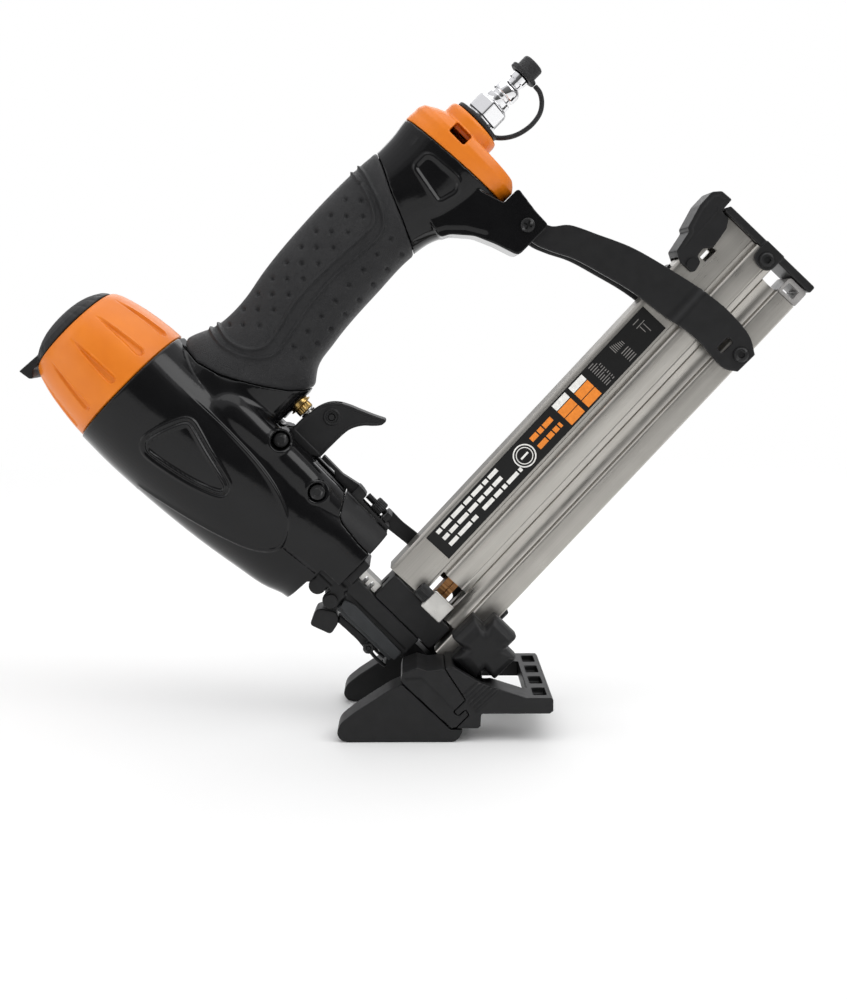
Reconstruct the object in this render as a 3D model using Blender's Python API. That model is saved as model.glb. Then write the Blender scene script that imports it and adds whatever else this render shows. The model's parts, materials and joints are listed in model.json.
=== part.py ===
"""Pneumatic brad nailer and stapler on a flooring base.  Metres, +Z up.

Three working frames hang from one root, and every sketch is in millimetres:
  tool      a runs along the magazine, b along the driver, tipped 45 degrees from the floor
  magazine  the tool frame moved to the nose and turned a little further
  root      level with the floor, for the base that stands on it
The second coordinate of every point is y, across the tool.
"""
import math

import bmesh
import bpy
from mathutils import Matrix, Vector

MM = 0.001
GAP = 0.3

# driving dimensions, mm
TILT = math.radians(45.0)
MAG_TILT = math.radians(2.2)
MAG_START = 45.0
ORIGIN_SHIFT = -6.6
AXIS = 23.0            # driver axis in the tool frame
BORE_R = 24.0          # cylinder seat in the housing
BORE_BOTTOM = 104.5
SLEEVE_R = 20.9        # cylinder bore
CAP_BOTTOM = 192.2
CAP_TOP = 227.2
GRIP_WALL = 2.6
BASE_HALF = 42.0
SHOE_WIDTH = 17.0
MAG_HALF = 11.5
RAIL_HALF = 12.0
RAIL_LENGTH = 210.0
COVER_LENGTH = 218.7
TRIGGER_PIVOT = (54.8, 128.3)
GUIDE_PIN = (50.0, 101.0)
WHEEL_A = 62.3
PIVOT_HEAD = 20.3      # distance of each pin head from the middle plane
GUIDE_HEAD = 23.2
HEAD_HEIGHT = 2.0
PIN_R = 2.2
PIN_HEAD_R = 3.3
DOOR_HINGE = (18.0, 62.0)
LATCH_PIVOT = (13.5, 34.0)
VALVE_A = 70.0
KNOB_AXIS = (37.0, 39.2)
KNOB_R = 14.2
MAG_LATCH_PIVOT = (193.0, 47.6)
STRAP_SCREW = (196.5, 118.0)
FOOT_SCREW = (223.5, 12.0)
END_SCREW = (216.0, 25.4)
PLUG_B = 165.3

# front a, rear a, half width of the cylinder body at each height b
BODY_SECTIONS = [
    (64.8, 0.5, 58.5, 21.0),
    (77.0, 3.5, 58.5, 22.5),
    (88.0, 0.0, 58.5, 24.5),
    (103.0, -2.5, 58.8, 26.5),
    (120.0, -5.0, 58.8, 28.0),
    (140.0, -7.0, 57.5, 29.5),
    (160.0, -8.2, 55.5, 30.5),
    (175.0, -8.7, 54.5, 31.2),
    (191.9, -8.3, 54.5, 31.4),
]

# bottom b, top b, half width of the handle at each a
HANDLE_SECTIONS = [
    (42.0, 133.8, 189.5, 21.5),
    (56.0, 133.6, 189.0, 20.5),
    (70.0, 134.0, 183.6, 18.5),
    (80.0, 134.8, 182.8, 17.8),
    (87.0, 139.6, 183.2, 17.3),
    (100.0, 142.2, 185.4, 17.0),
    (130.0, 144.3, 187.8, 17.0),
    (153.0, 144.4, 188.0, 17.3),
    (163.0, 142.3, 187.6, 17.6),
    (172.0, 137.5, 186.8, 18.0),
    (182.0, 134.0, 186.8, 18.0),
    (196.0, 132.7, 187.8, 18.0),
    (203.0, 132.5, 185.5, 17.2),
    (206.2, 136.0, 179.0, 15.5),
]

GRIP_REGION = [
    (80, 126), (80, 134.5), (77, 136), (72, 141), (66, 150), (60, 160), (56, 168),
    (53, 178), (53.2, 187), (54.5, 197), (176, 197), (173, 187), (170, 180),
    (165, 170), (160, 158), (155, 147), (153, 144), (150, 126),
]

REAR_LEG = [
    (166, 141), (170, 139), (177, 131), (181, 122), (184, 113), (185.3, 111.5),
    (203, 111.5), (203.3, 120), (204.8, 132), (196, 132.4), (190, 150), (168, 150),
]

REAR_SEAM = [(191, 200), (193, 175), (195, 150), (196, 132.2), (230, 132.2), (230, 200)]

GUARD_REGION = [(62, 94.8), (49.0, 86.8), (47.4, 83.4), (45.9, 72), (45.6, 60), (62, 60)]

# height b, radius, distance of the centre from the middle plane
COLUMN_A = 48.8
COLUMN_SECTIONS = [
    (84.0, 5.5, 13.5),
    (104.0, 7.4, 16.2),
    (125.0, 7.6, 17.6),
    (150.0, 7.6, 18.4),
    (157.0, 6.7, 18.4),
    (160.5, 4.2, 18.2),
    (161.8, 1.6, 18.0),
]


# ---------------------------------------------------------------- frames and materials

def clear_scene():
    for obj in list(bpy.data.objects):
        bpy.data.objects.remove(obj, do_unlink=True)


def frame(name, parent, location, turn):
    """An empty whose Y turn tips its children; location in mm."""
    marker = bpy.data.objects.new(name, None)
    bpy.context.collection.objects.link(marker)
    marker.parent = parent
    marker.location = Vector(location) * MM
    marker.rotation_euler = (0.0, turn, 0.0)
    return marker


def material(name, colour, roughness, metallic):
    made = bpy.data.materials.new(name)
    made.use_nodes = True
    shader = made.node_tree.nodes["Principled BSDF"]
    shader.inputs["Base Color"].default_value = (*colour, 1.0)
    shader.inputs["Roughness"].default_value = roughness
    shader.inputs["Metallic"].default_value = metallic
    return made


# ---------------------------------------------------------------- solids

def solid(bm):
    """Turns a bmesh in mm into a temporary object in metres."""
    bmesh.ops.recalc_face_normals(bm, faces=bm.faces)
    mesh = bpy.data.meshes.new("solid")
    bm.to_mesh(mesh)
    bm.free()
    mesh.transform(Matrix.Scale(MM, 4))
    made = bpy.data.objects.new("solid", mesh)
    bpy.context.collection.objects.link(made)
    return made


def loft(rings, closed=False):
    """Skins rings of equal point count; ends are capped unless the loft closes on itself."""
    bm = bmesh.new()
    loops = [[bm.verts.new(point) for point in ring] for ring in rings]
    count = len(rings[0])
    pairs = list(zip(loops, loops[1:]))
    if closed:
        pairs.append((loops[-1], loops[0]))
    for low, high in pairs:
        for k in range(count):
            n = (k + 1) % count
            bm.faces.new((low[k], low[n], high[n], high[k]))
    if not closed:
        bm.faces.new(loops[0])
        bm.faces.new(loops[-1])
    return solid(bm)


def prism(outline, y0, y1):
    return loft([[(a, y, b) for a, b in outline] for y in (y0, y1)])


def box(a0, a1, y0, y1, b0, b1):
    return prism([(a0, b0), (a1, b0), (a1, b1), (a0, b1)], y0, y1)


def turned(profile, centre, axis="b", segments=24, ring=False, shape=None):
    """Revolves (radius, height) points about an axis through centre."""
    def place(radius, height, angle):
        if shape is not None:
            radius = radius * shape(angle)
        c = radius * math.cos(angle)
        s = radius * math.sin(angle)
        if axis == "b":
            return (centre[0] + c, centre[1] + s, height)
        if axis == "a":
            return (height, centre[0] + c, centre[1] + s)
        return (centre[0] + c, height, centre[1] + s)

    angles = [2 * math.pi * (k + 0.5) / segments for k in range(segments)]
    rings = [[place(r, t, angle) for angle in angles] for r, t in profile]
    return loft(rings, closed=ring)


def rod(centre, radius, t0, t1, axis="y", segments=16):
    return turned([(radius, t0), (radius, t1)], centre, axis, segments)


def pipe(path, radius, sides=8):
    """Round bar swept along mm points, mitred at each bend."""
    points = [Vector(p) for p in path]
    rings = []
    side = None
    for i, point in enumerate(points):
        back = (point - points[i - 1]).normalized() if i else None
        ahead = (points[i + 1] - point).normalized() if i + 1 < len(points) else None
        along = ((back or ahead) + (ahead or back)).normalized()
        if side is None:
            side = along.orthogonal().normalized()
        side = (side - along * side.dot(along)).normalized()
        up = along.cross(side)
        grow = 1.0 / max(0.5, along.dot(ahead or back))
        rings.append([
            point + (side * math.cos(t) + up * math.sin(t)) * radius * grow
            for t in [2 * math.pi * k / sides for k in range(sides)]
        ])
    return loft(rings)


def spring(centre, b0, b1, radius, wire, turns):
    steps = int(turns * 10)
    path = [
        (
            centre[0] + radius * math.cos(2 * math.pi * turns * k / steps),
            centre[1] + radius * math.sin(2 * math.pi * turns * k / steps),
            b0 + wire + (b1 - b0 - 2 * wire) * k / steps,
        )
        for k in range(steps + 1)
    ]
    return pipe(path, wire, sides=5)


def rounded(points, radius, steps=3):
    """Rounds every corner of an outline; a third number in a point is its own radius."""
    out = []
    count = len(points)
    for i, point in enumerate(points):
        corner = Vector(point[:2])
        own = point[2] if len(point) > 2 else radius
        before = (Vector(points[i - 1][:2]) - corner)
        after = (Vector(points[(i + 1) % count][:2]) - corner)
        cut = min(own, before.length * 0.45, after.length * 0.45)
        if cut < 0.05:
            out.append((corner.x, corner.y))
            continue
        start = corner + before.normalized() * cut
        end = corner + after.normalized() * cut
        for k in range(steps + 1):
            t = k / steps
            blend = start * (1 - t) ** 2 + corner * 2 * t * (1 - t) + end * t ** 2
            out.append((blend.x, blend.y))
    return out


def inset(points, distance):
    """Moves every edge of an outline inwards."""
    area = sum(p[0] * q[1] - q[0] * p[1] for p, q in zip(points, points[1:] + points[:1]))
    sign = 1.0 if area > 0 else -1.0
    out = []
    for i, point in enumerate(points):
        corner = Vector(point)
        before = (corner - Vector(points[i - 1])).normalized()
        after = (Vector(points[(i + 1) % len(points)]) - corner).normalized()
        n0 = Vector((-before.y, before.x)) * sign
        n1 = Vector((-after.y, after.x)) * sign
        mitre = (n0 + n1).normalized()
        moved = corner + mitre * (distance / max(0.3, mitre.dot(n0)))
        out.append((moved.x, moved.y))
    return out


def combined(base, tool, operation):
    joiner = base.modifiers.new("combine", "BOOLEAN")
    joiner.operation = operation
    joiner.solver = "EXACT"
    joiner.object = tool
    bpy.context.view_layer.update()
    graph = bpy.context.evaluated_depsgraph_get()
    mesh = bpy.data.meshes.new_from_object(base.evaluated_get(graph))
    base.modifiers.clear()
    base.data = mesh
    bpy.data.objects.remove(tool, do_unlink=True)
    return base


def cut(base, *tools):
    for tool in tools:
        combined(base, tool, "DIFFERENCE")
    return base


def joined(base, *tools):
    for tool in tools:
        combined(base, tool, "UNION")
    return base


def common(base, tool):
    return combined(base, tool, "INTERSECT")


def magazine_to_tool():
    return Matrix.Translation(Vector((MAG_START * MM, 0, 0))) @ Matrix.Rotation(-MAG_TILT, 4, "Y")


def tool_to_level():
    return Matrix.Rotation(-TILT, 4, "Y")


def in_magazine(point):
    """A tool-frame point as the magazine frame sees it."""
    seen = magazine_to_tool().inverted() @ Vector((point[0] * MM, 0, point[1] * MM))
    return (seen.x / MM, seen.z / MM)


def moved(made, matrix):
    made.data.transform(matrix)
    return made


def part(name, made, parent, surface, pivot=(0, 0, 0)):
    """Names a finished solid, hangs it on its frame and puts its origin on its joint."""
    made.name = name
    made.data.name = name
    origin = Vector(pivot) * MM
    made.data.transform(Matrix.Translation(-origin))
    made.location = origin
    made.parent = parent
    made.data.materials.clear()
    made.data.materials.append(surface)
    made.data.shade_smooth()
    made.data.set_sharp_from_angle(angle=math.radians(35))
    return made


def squircle(half_a, half_b, power, count):
    """Points of a superellipse, starting at +a."""
    out = []
    for k in range(count):
        angle = 2 * math.pi * (k + 0.5) / count
        c = math.cos(angle)
        s = math.sin(angle)
        out.append((
            half_a * math.copysign(abs(c) ** (2 / power), c),
            half_b * math.copysign(abs(s) ** (2 / power), s),
        ))
    return out


# ---------------------------------------------------------------- housing and handle

def body_shape():
    rings = []
    for b, front, rear, half in BODY_SECTIONS:
        middle = (front + rear) / 2
        section = squircle((rear - front) / 2, half, 2.25, 32)
        rings.append([(middle + a, y, b) for a, y in section])
    return loft(rings)


def handle_shape(shrink=0.0):
    rings = []
    for a, low, high, half in HANDLE_SECTIONS:
        middle = (low + high) / 2
        section = squircle((high - low) / 2 - shrink, half - shrink, 2.4, 24)
        rings.append([(a, y, middle + b) for b, y in section])
    return loft(rings)


def valve_column(side):
    """Rounded rib over the safety rod, with a domed top."""
    rings = []
    for b, radius, y in COLUMN_SECTIONS:
        turns = [2 * math.pi * (k + 0.5) / 14 for k in range(14)]
        rings.append([(COLUMN_A + radius * math.cos(t), side * y + radius * math.sin(t), b) for t in turns])
    return loft(rings)


def main_housing():
    housing = joined(body_shape(), handle_shape(), valve_column(-1), valve_column(1))
    joined(housing, rod(TRIGGER_PIVOT, 5.0, -PIVOT_HEAD + 0.4, PIVOT_HEAD - 0.4, segments=20))
    cut(housing, cut(prism(GRIP_REGION, -40, 40), handle_shape(GRIP_WALL)))
    joined(housing, prism(rounded(REAR_LEG, 1.5, 2), -16, 16))
    cut(
        housing,
        prism(inset(REAR_SEAM, -GAP / 2), -30, 30),
        box(-20, 27, -40, 40, 60, 76.3),
        prism(GUARD_REGION, -40, 40),
        rod((AXIS, 0), BORE_R, BORE_BOTTOM, 200, "b", 32),
        box(20.8, 25.2, -6.5, 6.5, 60, BORE_BOTTOM + 3),
        rod((0, 165.5), 10.5, 60, 200, "a", 20),
        box(48.8, 61, -6.6, 6.6, 60, 137),
        rod((VALVE_A, 0), 5.4, 130, 152, "b", 20),
        box(191.5, 204, -13.2, -9.8, 108, 128),
        box(191.5, 204, 9.8, 13.2, 108, 128),
        rod(STRAP_SCREW, 2.3, -20, 20),
    )
    for pin, reach in ((TRIGGER_PIVOT, PIVOT_HEAD), (GUIDE_PIN, GUIDE_HEAD)):
        seat = reach - HEAD_HEIGHT - GAP
        cut(
            housing,
            rod(pin, PIN_R + GAP, -40, 40),
            rod(pin, PIN_HEAD_R + 0.5, -40, -seat),
            rod(pin, PIN_HEAD_R + 0.5, seat, 40),
        )
    return housing


def lower_guard():
    guard = common(body_shape(), prism(inset(GUARD_REGION, GAP), -40, 40))
    return cut(guard, box(56.4, 70, -7.5, 7.5, 50, 100))


def handle_grip():
    grip = common(handle_shape(), prism(inset(GRIP_REGION, GAP), -40, 40))
    cut(grip, handle_shape(GRIP_WALL - GAP), rod((AXIS, 0), 33.0, 120, 200, "b", 40))
    return grip


def rear_cap():
    cap = joined(handle_shape(), turned([(13.2, 200), (13.2, 211.2), (12.2, 212.5)], (0, PLUG_B), "a", 28))
    common(cap, prism(inset(REAR_SEAM, GAP / 2), -30, 30))
    cut(
        cap,
        rod((0, 165.5), 10.5, 180, 204, "a", 20),
        rod((0, PLUG_B), 4.6, 200, 220, "a", 16),
        box(200.5, 206.0, -25, -8, 161.5, 170.5),
    )
    return cap


def hexagon(angle):
    """Radius of a hexagon with unit flats."""
    return 1.0 / math.cos((angle % (math.pi / 3)) - math.pi / 6)


def air_plug():
    plug = turned([
        (4.2, 204.5), (4.2, 215.0), (6.6, 215.2), (6.6, 224.3), (5.6, 225), (5.6, 227.5),
        (4.6, 228), (4.6, 229.2), (5.6, 229.7), (5.6, 233.5), (4.0, 235), (4.0, 240.7),
    ], (0, PLUG_B), "a", 24)
    joined(plug, turned([(7.5, 216), (7.5, 223.8)], (0, PLUG_B), "a", 36, shape=hexagon))
    return cut(plug, rod((0, PLUG_B), 2.2, 200, 245, "a", 12))


def dust_cap():
    return cut(
        turned([(6.7, 241.1), (6.7, 243.3), (5.1, 243.6), (5.1, 248.2), (4.3, 249)], (0, PLUG_B), "a", 24),
        rod((0, PLUG_B), 4.3, 240, 245, "a", 16),
    )


def dust_cap_strap():
    section = [(4.6, 212.8), (11.0, 212.8), (11.0, 214.7), (4.6, 214.7)]
    ring = turned(section, (0, PLUG_B), "a", 24, ring=True)
    tether = pipe([
        (213.7, 0, 157), (216, 0, 154), (219, 0, 151), (223, 0, 149), (229, 0, 147.6),
        (235, 0, 148.3), (239, 0, 150.6), (242, 0, 154), (242.8, 0, 158.2),
    ], 1.1)
    return joined(ring, tether)


# ---------------------------------------------------------------- cap and drive

def cap_outline():
    return [(31.2, CAP_BOTTOM), (30.2, 202), (28.5, 212.5), (26.4, 220.5), (24.6, 225), (22.4, CAP_TOP)]


def top_cap():
    inner = [(6.0, CAP_TOP), (6.0, 223.6), (20.0, 223.2), (25.6, 213), (27.4, CAP_BOTTOM)]
    return turned(cap_outline() + inner, (AXIS, 0), "b", 32, ring=True)


def exhaust_deflector():
    dome = turned([
        (4.0, CAP_TOP + GAP), (22.0, CAP_TOP + GAP), (21.2, 229.0), (17.8, 231.9), (12.3, 234.2),
        (6.4, 235.2), (6.2, 233.2), (4.0, 233.2),
    ], (AXIS, 0), "b", 28, ring=True)
    spout = [
        (-6.4, 231.4), (-5.6, 226.0), (-4.6, 225.0), (-3.6, 225.4), (-1.4, 227.5), (6, 227.6), (6, 230.4),
    ]
    return joined(dome, prism(spout, -9, 9))


def deflector_screw():
    return turned([(3.4, 214), (3.4, 233.4), (5.5, 233.6), (5.2, 234.7), (2.0, 235.0)], (AXIS, 0), "b", 20)


def cylinder_sleeve():
    low = BORE_BOTTOM + GAP
    outside = BORE_R - GAP
    section = [(SLEEVE_R, low), (outside, low), (outside, 205), (SLEEVE_R, 205)]
    return turned(section, (AXIS, 0), "b", 28, ring=True)


def piston():
    return turned([
        (6, 180), (6, 184), (20.5, 184), (20.5, 189.4), (18.4, 189.4), (18.4, 192.6),
        (20.5, 192.6), (20.5, 197), (15, 198), (13, 195),
    ], (AXIS, 0), "b", 24)


def piston_ring():
    section = [(18.7, 189.7), (20.6, 189.7), (20.6, 192.3), (18.7, 192.3)]
    return turned(section, (AXIS, 0), "b", 24, ring=True)


def driver_blade():
    return box(22.0, 24.0, -4.4, 4.4, 62, 179.7)


def bumper():
    low = BORE_BOTTOM + GAP
    ring = turned([(17.5, low), (20.4, low + 3.5), (20.4, low + 15), (17.0, low + 20)], (AXIS, 0), "b", 24)
    return cut(ring, box(20.5, 25.5, -6.8, 6.8, 90, 140))


def head_valve():
    return turned([(9, 206), (25.5, 206), (25.5, 212), (19, 214), (9, 214)], (AXIS, 0), "b", 24, ring=True)


def head_valve_spring():
    return spring((AXIS, 0), 214.3, 222.9, 14, 0.9, 2.5)


# ---------------------------------------------------------------- trigger

def trigger():
    outline = rounded([
        (60, 128), (75, 127), (82, 125), (86, 121), (88, 114), (91, 106), (92.5, 101.5),
        (89, 102), (84, 107), (78, 110), (60, 110.5), (54.4, 119), (51.0, 124.5), (51.0, 130.3),
        (54.4, 132), (58.2, 131.3),
    ], 1.6)
    made = prism(outline, -6.2, 6.2)
    cut(
        made,
        box(58.2, 84, -4.2, 4.2, 113, 140),
        box(57.6, 66, -4.2, 4.2, 100, 120),
        rod(TRIGGER_PIVOT, 2.5, -10, 10),
        rod((76.5, 119.5), 1.6, -10, 10),
    )
    return made


def headed_pin(centre, reach):
    """Plain pin with a flat head on each side."""
    seat = reach - HEAD_HEIGHT
    half = [(PIN_R, seat - 0.1), (PIN_HEAD_R, seat), (PIN_HEAD_R, reach)]
    return turned([(r, -y) for r, y in reversed(half)] + half, centre, "y")


def trigger_rocker():
    """Tongue inside the trigger, with its pin showing on both sides."""
    return joined(
        prism([(60.8, 117.6), (76, 117.6), (76, 121), (60.8, 119.6)], -3.7, 3.7),
        rod((76.5, 119.5), 2.4, -3.7, 3.7),
        rod((76.5, 119.5), 1.3, -6.8, 6.8, segments=14),
    )


def trigger_valve_body():
    return turned([
        (2.3, 132.6), (6.6, 132.6), (6.6, 133.3), (5.1, 133.4), (5.1, 151.5), (2.3, 151.5),
    ], (VALVE_A, 0), "b", 24, ring=True)


def trigger_valve_stem():
    profile = [(1.9, 121.4), (3.2, 121.9), (3.2, 124.6), (1.9, 124.9), (1.9, 149)]
    return turned(profile, (VALVE_A, 0), "b", 16)


def trigger_valve_spring():
    return spring((VALVE_A, 0), 127.6, 132.3, 3.1, 0.45, 3)


# ---------------------------------------------------------------- safety

def upper_safety_arm():
    outline = [
        (59.8, 109.8), (61.8, 109.8), (61.8, 98), (63.4, 88.6), (63.2, 86.2), (62.6, 83.6), (59.4, 83.6),
        (59.3, 81), (59.3, 66), (57.6, 66), (57.6, 84), (59.8, 89), (59.8, 98),
    ]
    made = prism(outline, -5.5, 5.5)
    wheel_window = box(55, 59.6, -4.4, 4.4, 71.2, 83.4)
    return cut(made, box(55, 65, -10, -3.0, 89, 120), box(55, 65, 3.0, 10, 89, 120), wheel_window)


def knurl(angle):
    """Ten finger notches around a wheel."""
    return 1.0 - 0.09 * (0.5 + 0.5 * math.cos(10 * angle))


def depth_wheel():
    wheel = turned([(3.0, 73.1), (3.4, 73.6), (3.4, 77.9), (3.0, 78.4)], (WHEEL_A, 0), "b", 40, shape=knurl)
    return joined(wheel, rod((WHEEL_A, 0), 1.6, 71.4, 83.2, "b", 14))


def lower_safety_arm():
    side = prism(rounded([
        (55.6, 71), (63.6, 71), (63.6, 68.6), (63.4, 62), (64.4, 54), (66, 26), (64, 15), (60, 12),
        (36, 11), (35, 13), (36, 19), (55, 20), (58, 26), (57.5, 54),
    ], 1.2, 2), 12.4, 14.6)
    return joined(side, box(59.7, 63.6, -4.5, 13.5, 68.7, 71))


# ---------------------------------------------------------------- nose

def nose_body():
    made = joined(
        box(21.5, 33, -11, 11, 21, 64.4),
        box(21.7, 30, -7, 7, -11, 22),
        box(30, 42, -14, 14, 60.5, 64.4),
        box(21.5, 26.6, -12, 12, 60, 76),
    )
    for side in (-1, 1):
        y0, y1 = sorted((side * 9.3, side * 12))
        ear = joined(rod(DOOR_HINGE, 4, y0, y1), box(18.5, 24, y0, y1, 58.5, 65.5))
        lug = joined(rod((18.5, 71), 4, y0, y1), box(18.5, 24, y0, y1, 67.5, 74.5))
        joined(made, ear, lug)
    cut(
        made,
        box(20, 24.5, -4.8, 4.8, -20, 80),
        rod(DOOR_HINGE, 1.9, -20, 20),
        box(24, 34, -4.8, 4.8, 22, 32.5),
    )
    return made


def guide_plate():
    plate = box(33.4, 38, -6.3, 6.3, 50.1, 60.2)
    return cut(plate, box(30, 36.6, -8, 8, 52.5, 54.3), box(30, 36.6, -8, 8, 56, 57.8))


def nose_door():
    made = joined(
        box(16.8, 19.6, -13.5, 13.5, 24, 57.5),
        box(19.0, 21.2, -8.6, 8.6, 24, 57.5),
        box(16.8, 21.2, -8.7, 8.7, 56, 61),
        rod(DOOR_HINGE, 3.2, -8.7, 8.7),
    )
    for side in (-1, 1):
        outline = rounded([(17, 24), (24, 24), (24, 50), (20, 57), (17, 57)], 1.0, 2)
        cheek = prism(outline, *sorted((side * 11.3, side * 13.5)))
        across = sorted((side * 3.4, side * 5.6))
        ear = joined(rod(LATCH_PIVOT, 2.6, *across, segments=14), box(13.5, 17.5, *across, 31.6, 36.4))
        joined(made, cheek, ear)
    cut(
        made,
        rod(DOOR_HINGE, 1.9, -20, 20),
        rod(LATCH_PIVOT, 1.3, -9, 9, segments=12),
        box(10, 18.5, -3.4, 3.4, 31, 37.5),
    )
    return made


def door_hinge_pin():
    profile = [(3.0, -14.2), (3.0, -12.4), (1.5, -12.3), (1.5, 12.3), (2.2, 12.4), (2.2, 13.4)]
    return turned(profile, DOOR_HINGE, "y")


def latch_lever():
    arm = prism(rounded([
        (12.2, 31.7), (14.8, 31.7), (15.9, 34), (15.2, 40), (14.6, 53),
        (13.0, 55), (11.4, 53), (11.8, 40), (11.1, 34),
    ], 0.8, 2), -3.0, 3.0)
    thumb_rest = rounded([
        (2.6, 60.6), (9.2, 63.4), (11.4, 62.4), (15.6, 55.8), (12.6, 52.0), (6.2, 50.6),
    ], 1.4, 2)
    pad = prism(thumb_rest, -8.5, 8.5)
    return cut(joined(arm, pad), rod(LATCH_PIVOT, 1.3, -9, 9, segments=12))


def latch_pin():
    return rod(LATCH_PIVOT, 1.0, -8.4, 8.4, segments=12)


def latch_wire():
    a, b = LATCH_PIVOT
    loop = pipe([
        (a - 0.5, -7.2, b - 2), (a - 0.7, -7.2, b - 9.5), (a - 0.7, -5.6, b - 11), (a - 0.7, 5.6, b - 11),
        (a - 0.7, 7.2, b - 9.5), (a - 0.5, 7.2, b - 2),
    ], 0.85)
    for side in (-1, 1):
        joined(loop, turned([
            (1.3, side * 6.0), (2.5, side * 6.0), (2.5, side * 8.0), (1.3, side * 8.0),
        ], LATCH_PIVOT, "y", 14, ring=True))
    return loop


def front_block():
    made = prism(rounded([(33.4, 14.6), (46.4, 14.6), (46.4, 49.7), (33.4, 49.7)], 1.0, 2), -11.3, 11.3)
    return cut(made, box(30, 50, -4.8, 4.8, 22.4, 32.4), rod((40, 0), 2.5, 40, 55, "b", 12))


# ---------------------------------------------------------------- magazine, in its own frame

def magazine_rail():
    foot = rounded([(-10, 2), (RAIL_LENGTH, 2), (RAIL_LENGTH, 12.5), (-10, 12.5)], 0.4, 1)
    base = prism(foot, -RAIL_HALF, RAIL_HALF)
    joined(base, box(3, RAIL_LENGTH, -8.5, 8.5, 11, 20))
    cut(base, box(-20, RAIL_LENGTH + 5, -3.2, 3.2, 8, 25))
    for side in (-1, 1):
        cut(base, rod(in_magazine(FOOT_SCREW), 2.1, *sorted((side * 6, side * 20)), segments=12))
        cut(base, prism([(-20, 11.4), (-20, 14), (RAIL_LENGTH + 9, 14), (RAIL_LENGTH + 9, 11.4)],
                        *sorted((side * 11, side * 20))))
    return base


def cover_section():
    """Half outline of the sliding extrusion: y, height."""
    return [
        (5.2, 20.5), (MAG_HALF, 20.5), (MAG_HALF, 31.6), (10.6, 33.2), (8.2, 33.6), (8.2, 35), (9, 35.4),
        (9, 51.6), (8.2, 53),
    ]


def cover_inner():
    return [(5.2, 36), (6.2, 37), (6.2, 50.3)]


def magazine_cover():
    right = cover_section()
    left = [(-y, m) for y, m in reversed(right)]
    inner = [(-y, m) for y, m in cover_inner()] + [(y, m) for y, m in reversed(cover_inner())]
    section = right + left + inner
    made = loft([[(s, y, m) for y, m in section] for s in (4.0, COVER_LENGTH)])
    cut(
        made,
        box(-5, 19, -20, 20, 15, 34.2),
        box(198, 205, -20, 20, 43.6, 47),
        rod(MAG_LATCH_PIVOT, 1.8, -20, 20, segments=14),
        rod(END_SCREW, 1.9, -20, 20, segments=12),
    )
    return made


def rating_label():
    return box(25, 165.5, -9.7, -9.3, 36.6, 50.6)


def fastener_stick():
    core = box(-18.6, 104.5, -3.0, 3.0, 24.3, 30.3)
    return joined(core, box(-18.6, 104.5, -4.3, 4.3, 24.3, 26.7), box(-18.6, 104.5, -4.3, 4.3, 27.6, 30.3))


def pusher():
    return joined(box(105, 122, -4.6, 4.6, 21, 31.5), box(107, 120, -2.8, 2.8, 8.5, 22))


def end_plate():
    made = prism(rounded([(219, 1), (222.5, 1), (222.5, 53), (219, 53)], 0.6, 1), -12, 12)
    for side in (-1, 1):
        outline = rounded([(212, 20.5, 4), (222.5, 20.5), (222.5, 31), (212, 31, 4)], 0.8, 3)
        ear = prism(outline, *sorted((side * 11.8, side * 13.8)))
        joined(made, ear, box(219, 222.5, *sorted((side * 10, side * 13.8)), 20.5, 31))
    return cut(made, rod(END_SCREW, 2.0, -30, 30, segments=14))


def end_screw(side):
    profile = [(1.6, side * 7), (1.6, side * 14.0), (3.3, side * 14.1), (3.0, side * 15.9)]
    return turned(profile, END_SCREW, "y", 18)


def end_block():
    ring = prism(rounded([(210.4, 1.5), (218.6, 1.5), (218.6, 12), (210.4, 12)], 0.8, 1), -10.5, 10.5)
    return cut(ring, box(212.2, 216.4, -15, 15, 4.5, 10.6))


def magazine_latch():
    outline = rounded([
        (198, 44.4), (205, 47), (218.5, 50.5), (218.6, 54), (224, 54.6), (222.5, 58.5), (220, 63),
        (217, 63.7), (199.5, 59.4), (192.6, 57), (190.4, 51), (190.4, 44.8), (195.6, 44.4),
    ], 1.0, 2)
    made = prism(outline, -11.2, 11.2)
    cut(made, box(180, 230, -9.4, 9.4, 40, 53.9), rod(MAG_LATCH_PIVOT, 1.8, -20, 20, segments=14))
    return made


def magazine_latch_pin():
    profile = [(2.6, -12.6), (2.6, -11.5), (1.5, -11.4), (1.5, 11.4), (2.6, 11.5), (2.6, 12.6)]
    return turned(profile, MAG_LATCH_PIVOT, "y", 16)


def latch_leaf_spring():
    return prism([(170, 53.3), (187.4, 53.3), (187.4, 54.3), (181, 54.3), (170, 54.1)], -5, 5)


def clamp_block():
    return prism(rounded([(45.2, 20.6), (55, 20.6), (55, 32.4), (45.2, 32.4)], 0.7, 2), -15.5, -11.9)


def clamp_screw():
    return turned([(3.4, 32.7), (3.4, 38.2), (2.9, 38.7)], (50.6, -15.4), "b", 18)


# ---------------------------------------------------------------- rear bracket

STRAP_STATIONS = [
    # left (a, b), right (a, b), distance from the middle plane
    ((193.4, 127.2), (202.2, 127.2), 11.5),
    ((193.0, 112.0), (203.0, 112.0), 11.5),
    ((196.0, 103.0), (210.0, 105.0), 11.5),
    ((201.0, 93.0), (216.0, 93.0), 11.5),
    ((205.0, 80.0), (222.0, 80.0), 11.5),
    ((209.0, 65.0), (226.0, 67.0), 11.5),
    ((211.8, 46.5), (230.8, 47.5), 11.5),
    ((213.0, 41.0), (231.6, 42.0), 13.9),
    ((214.5, 30.0), (233.0, 30.0), 13.9),
    ((214.0, 14.0), (232.2, 16.0), 13.9),
    ((217.5, 7.4), (228.0, 7.4), 13.9),
]


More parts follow.
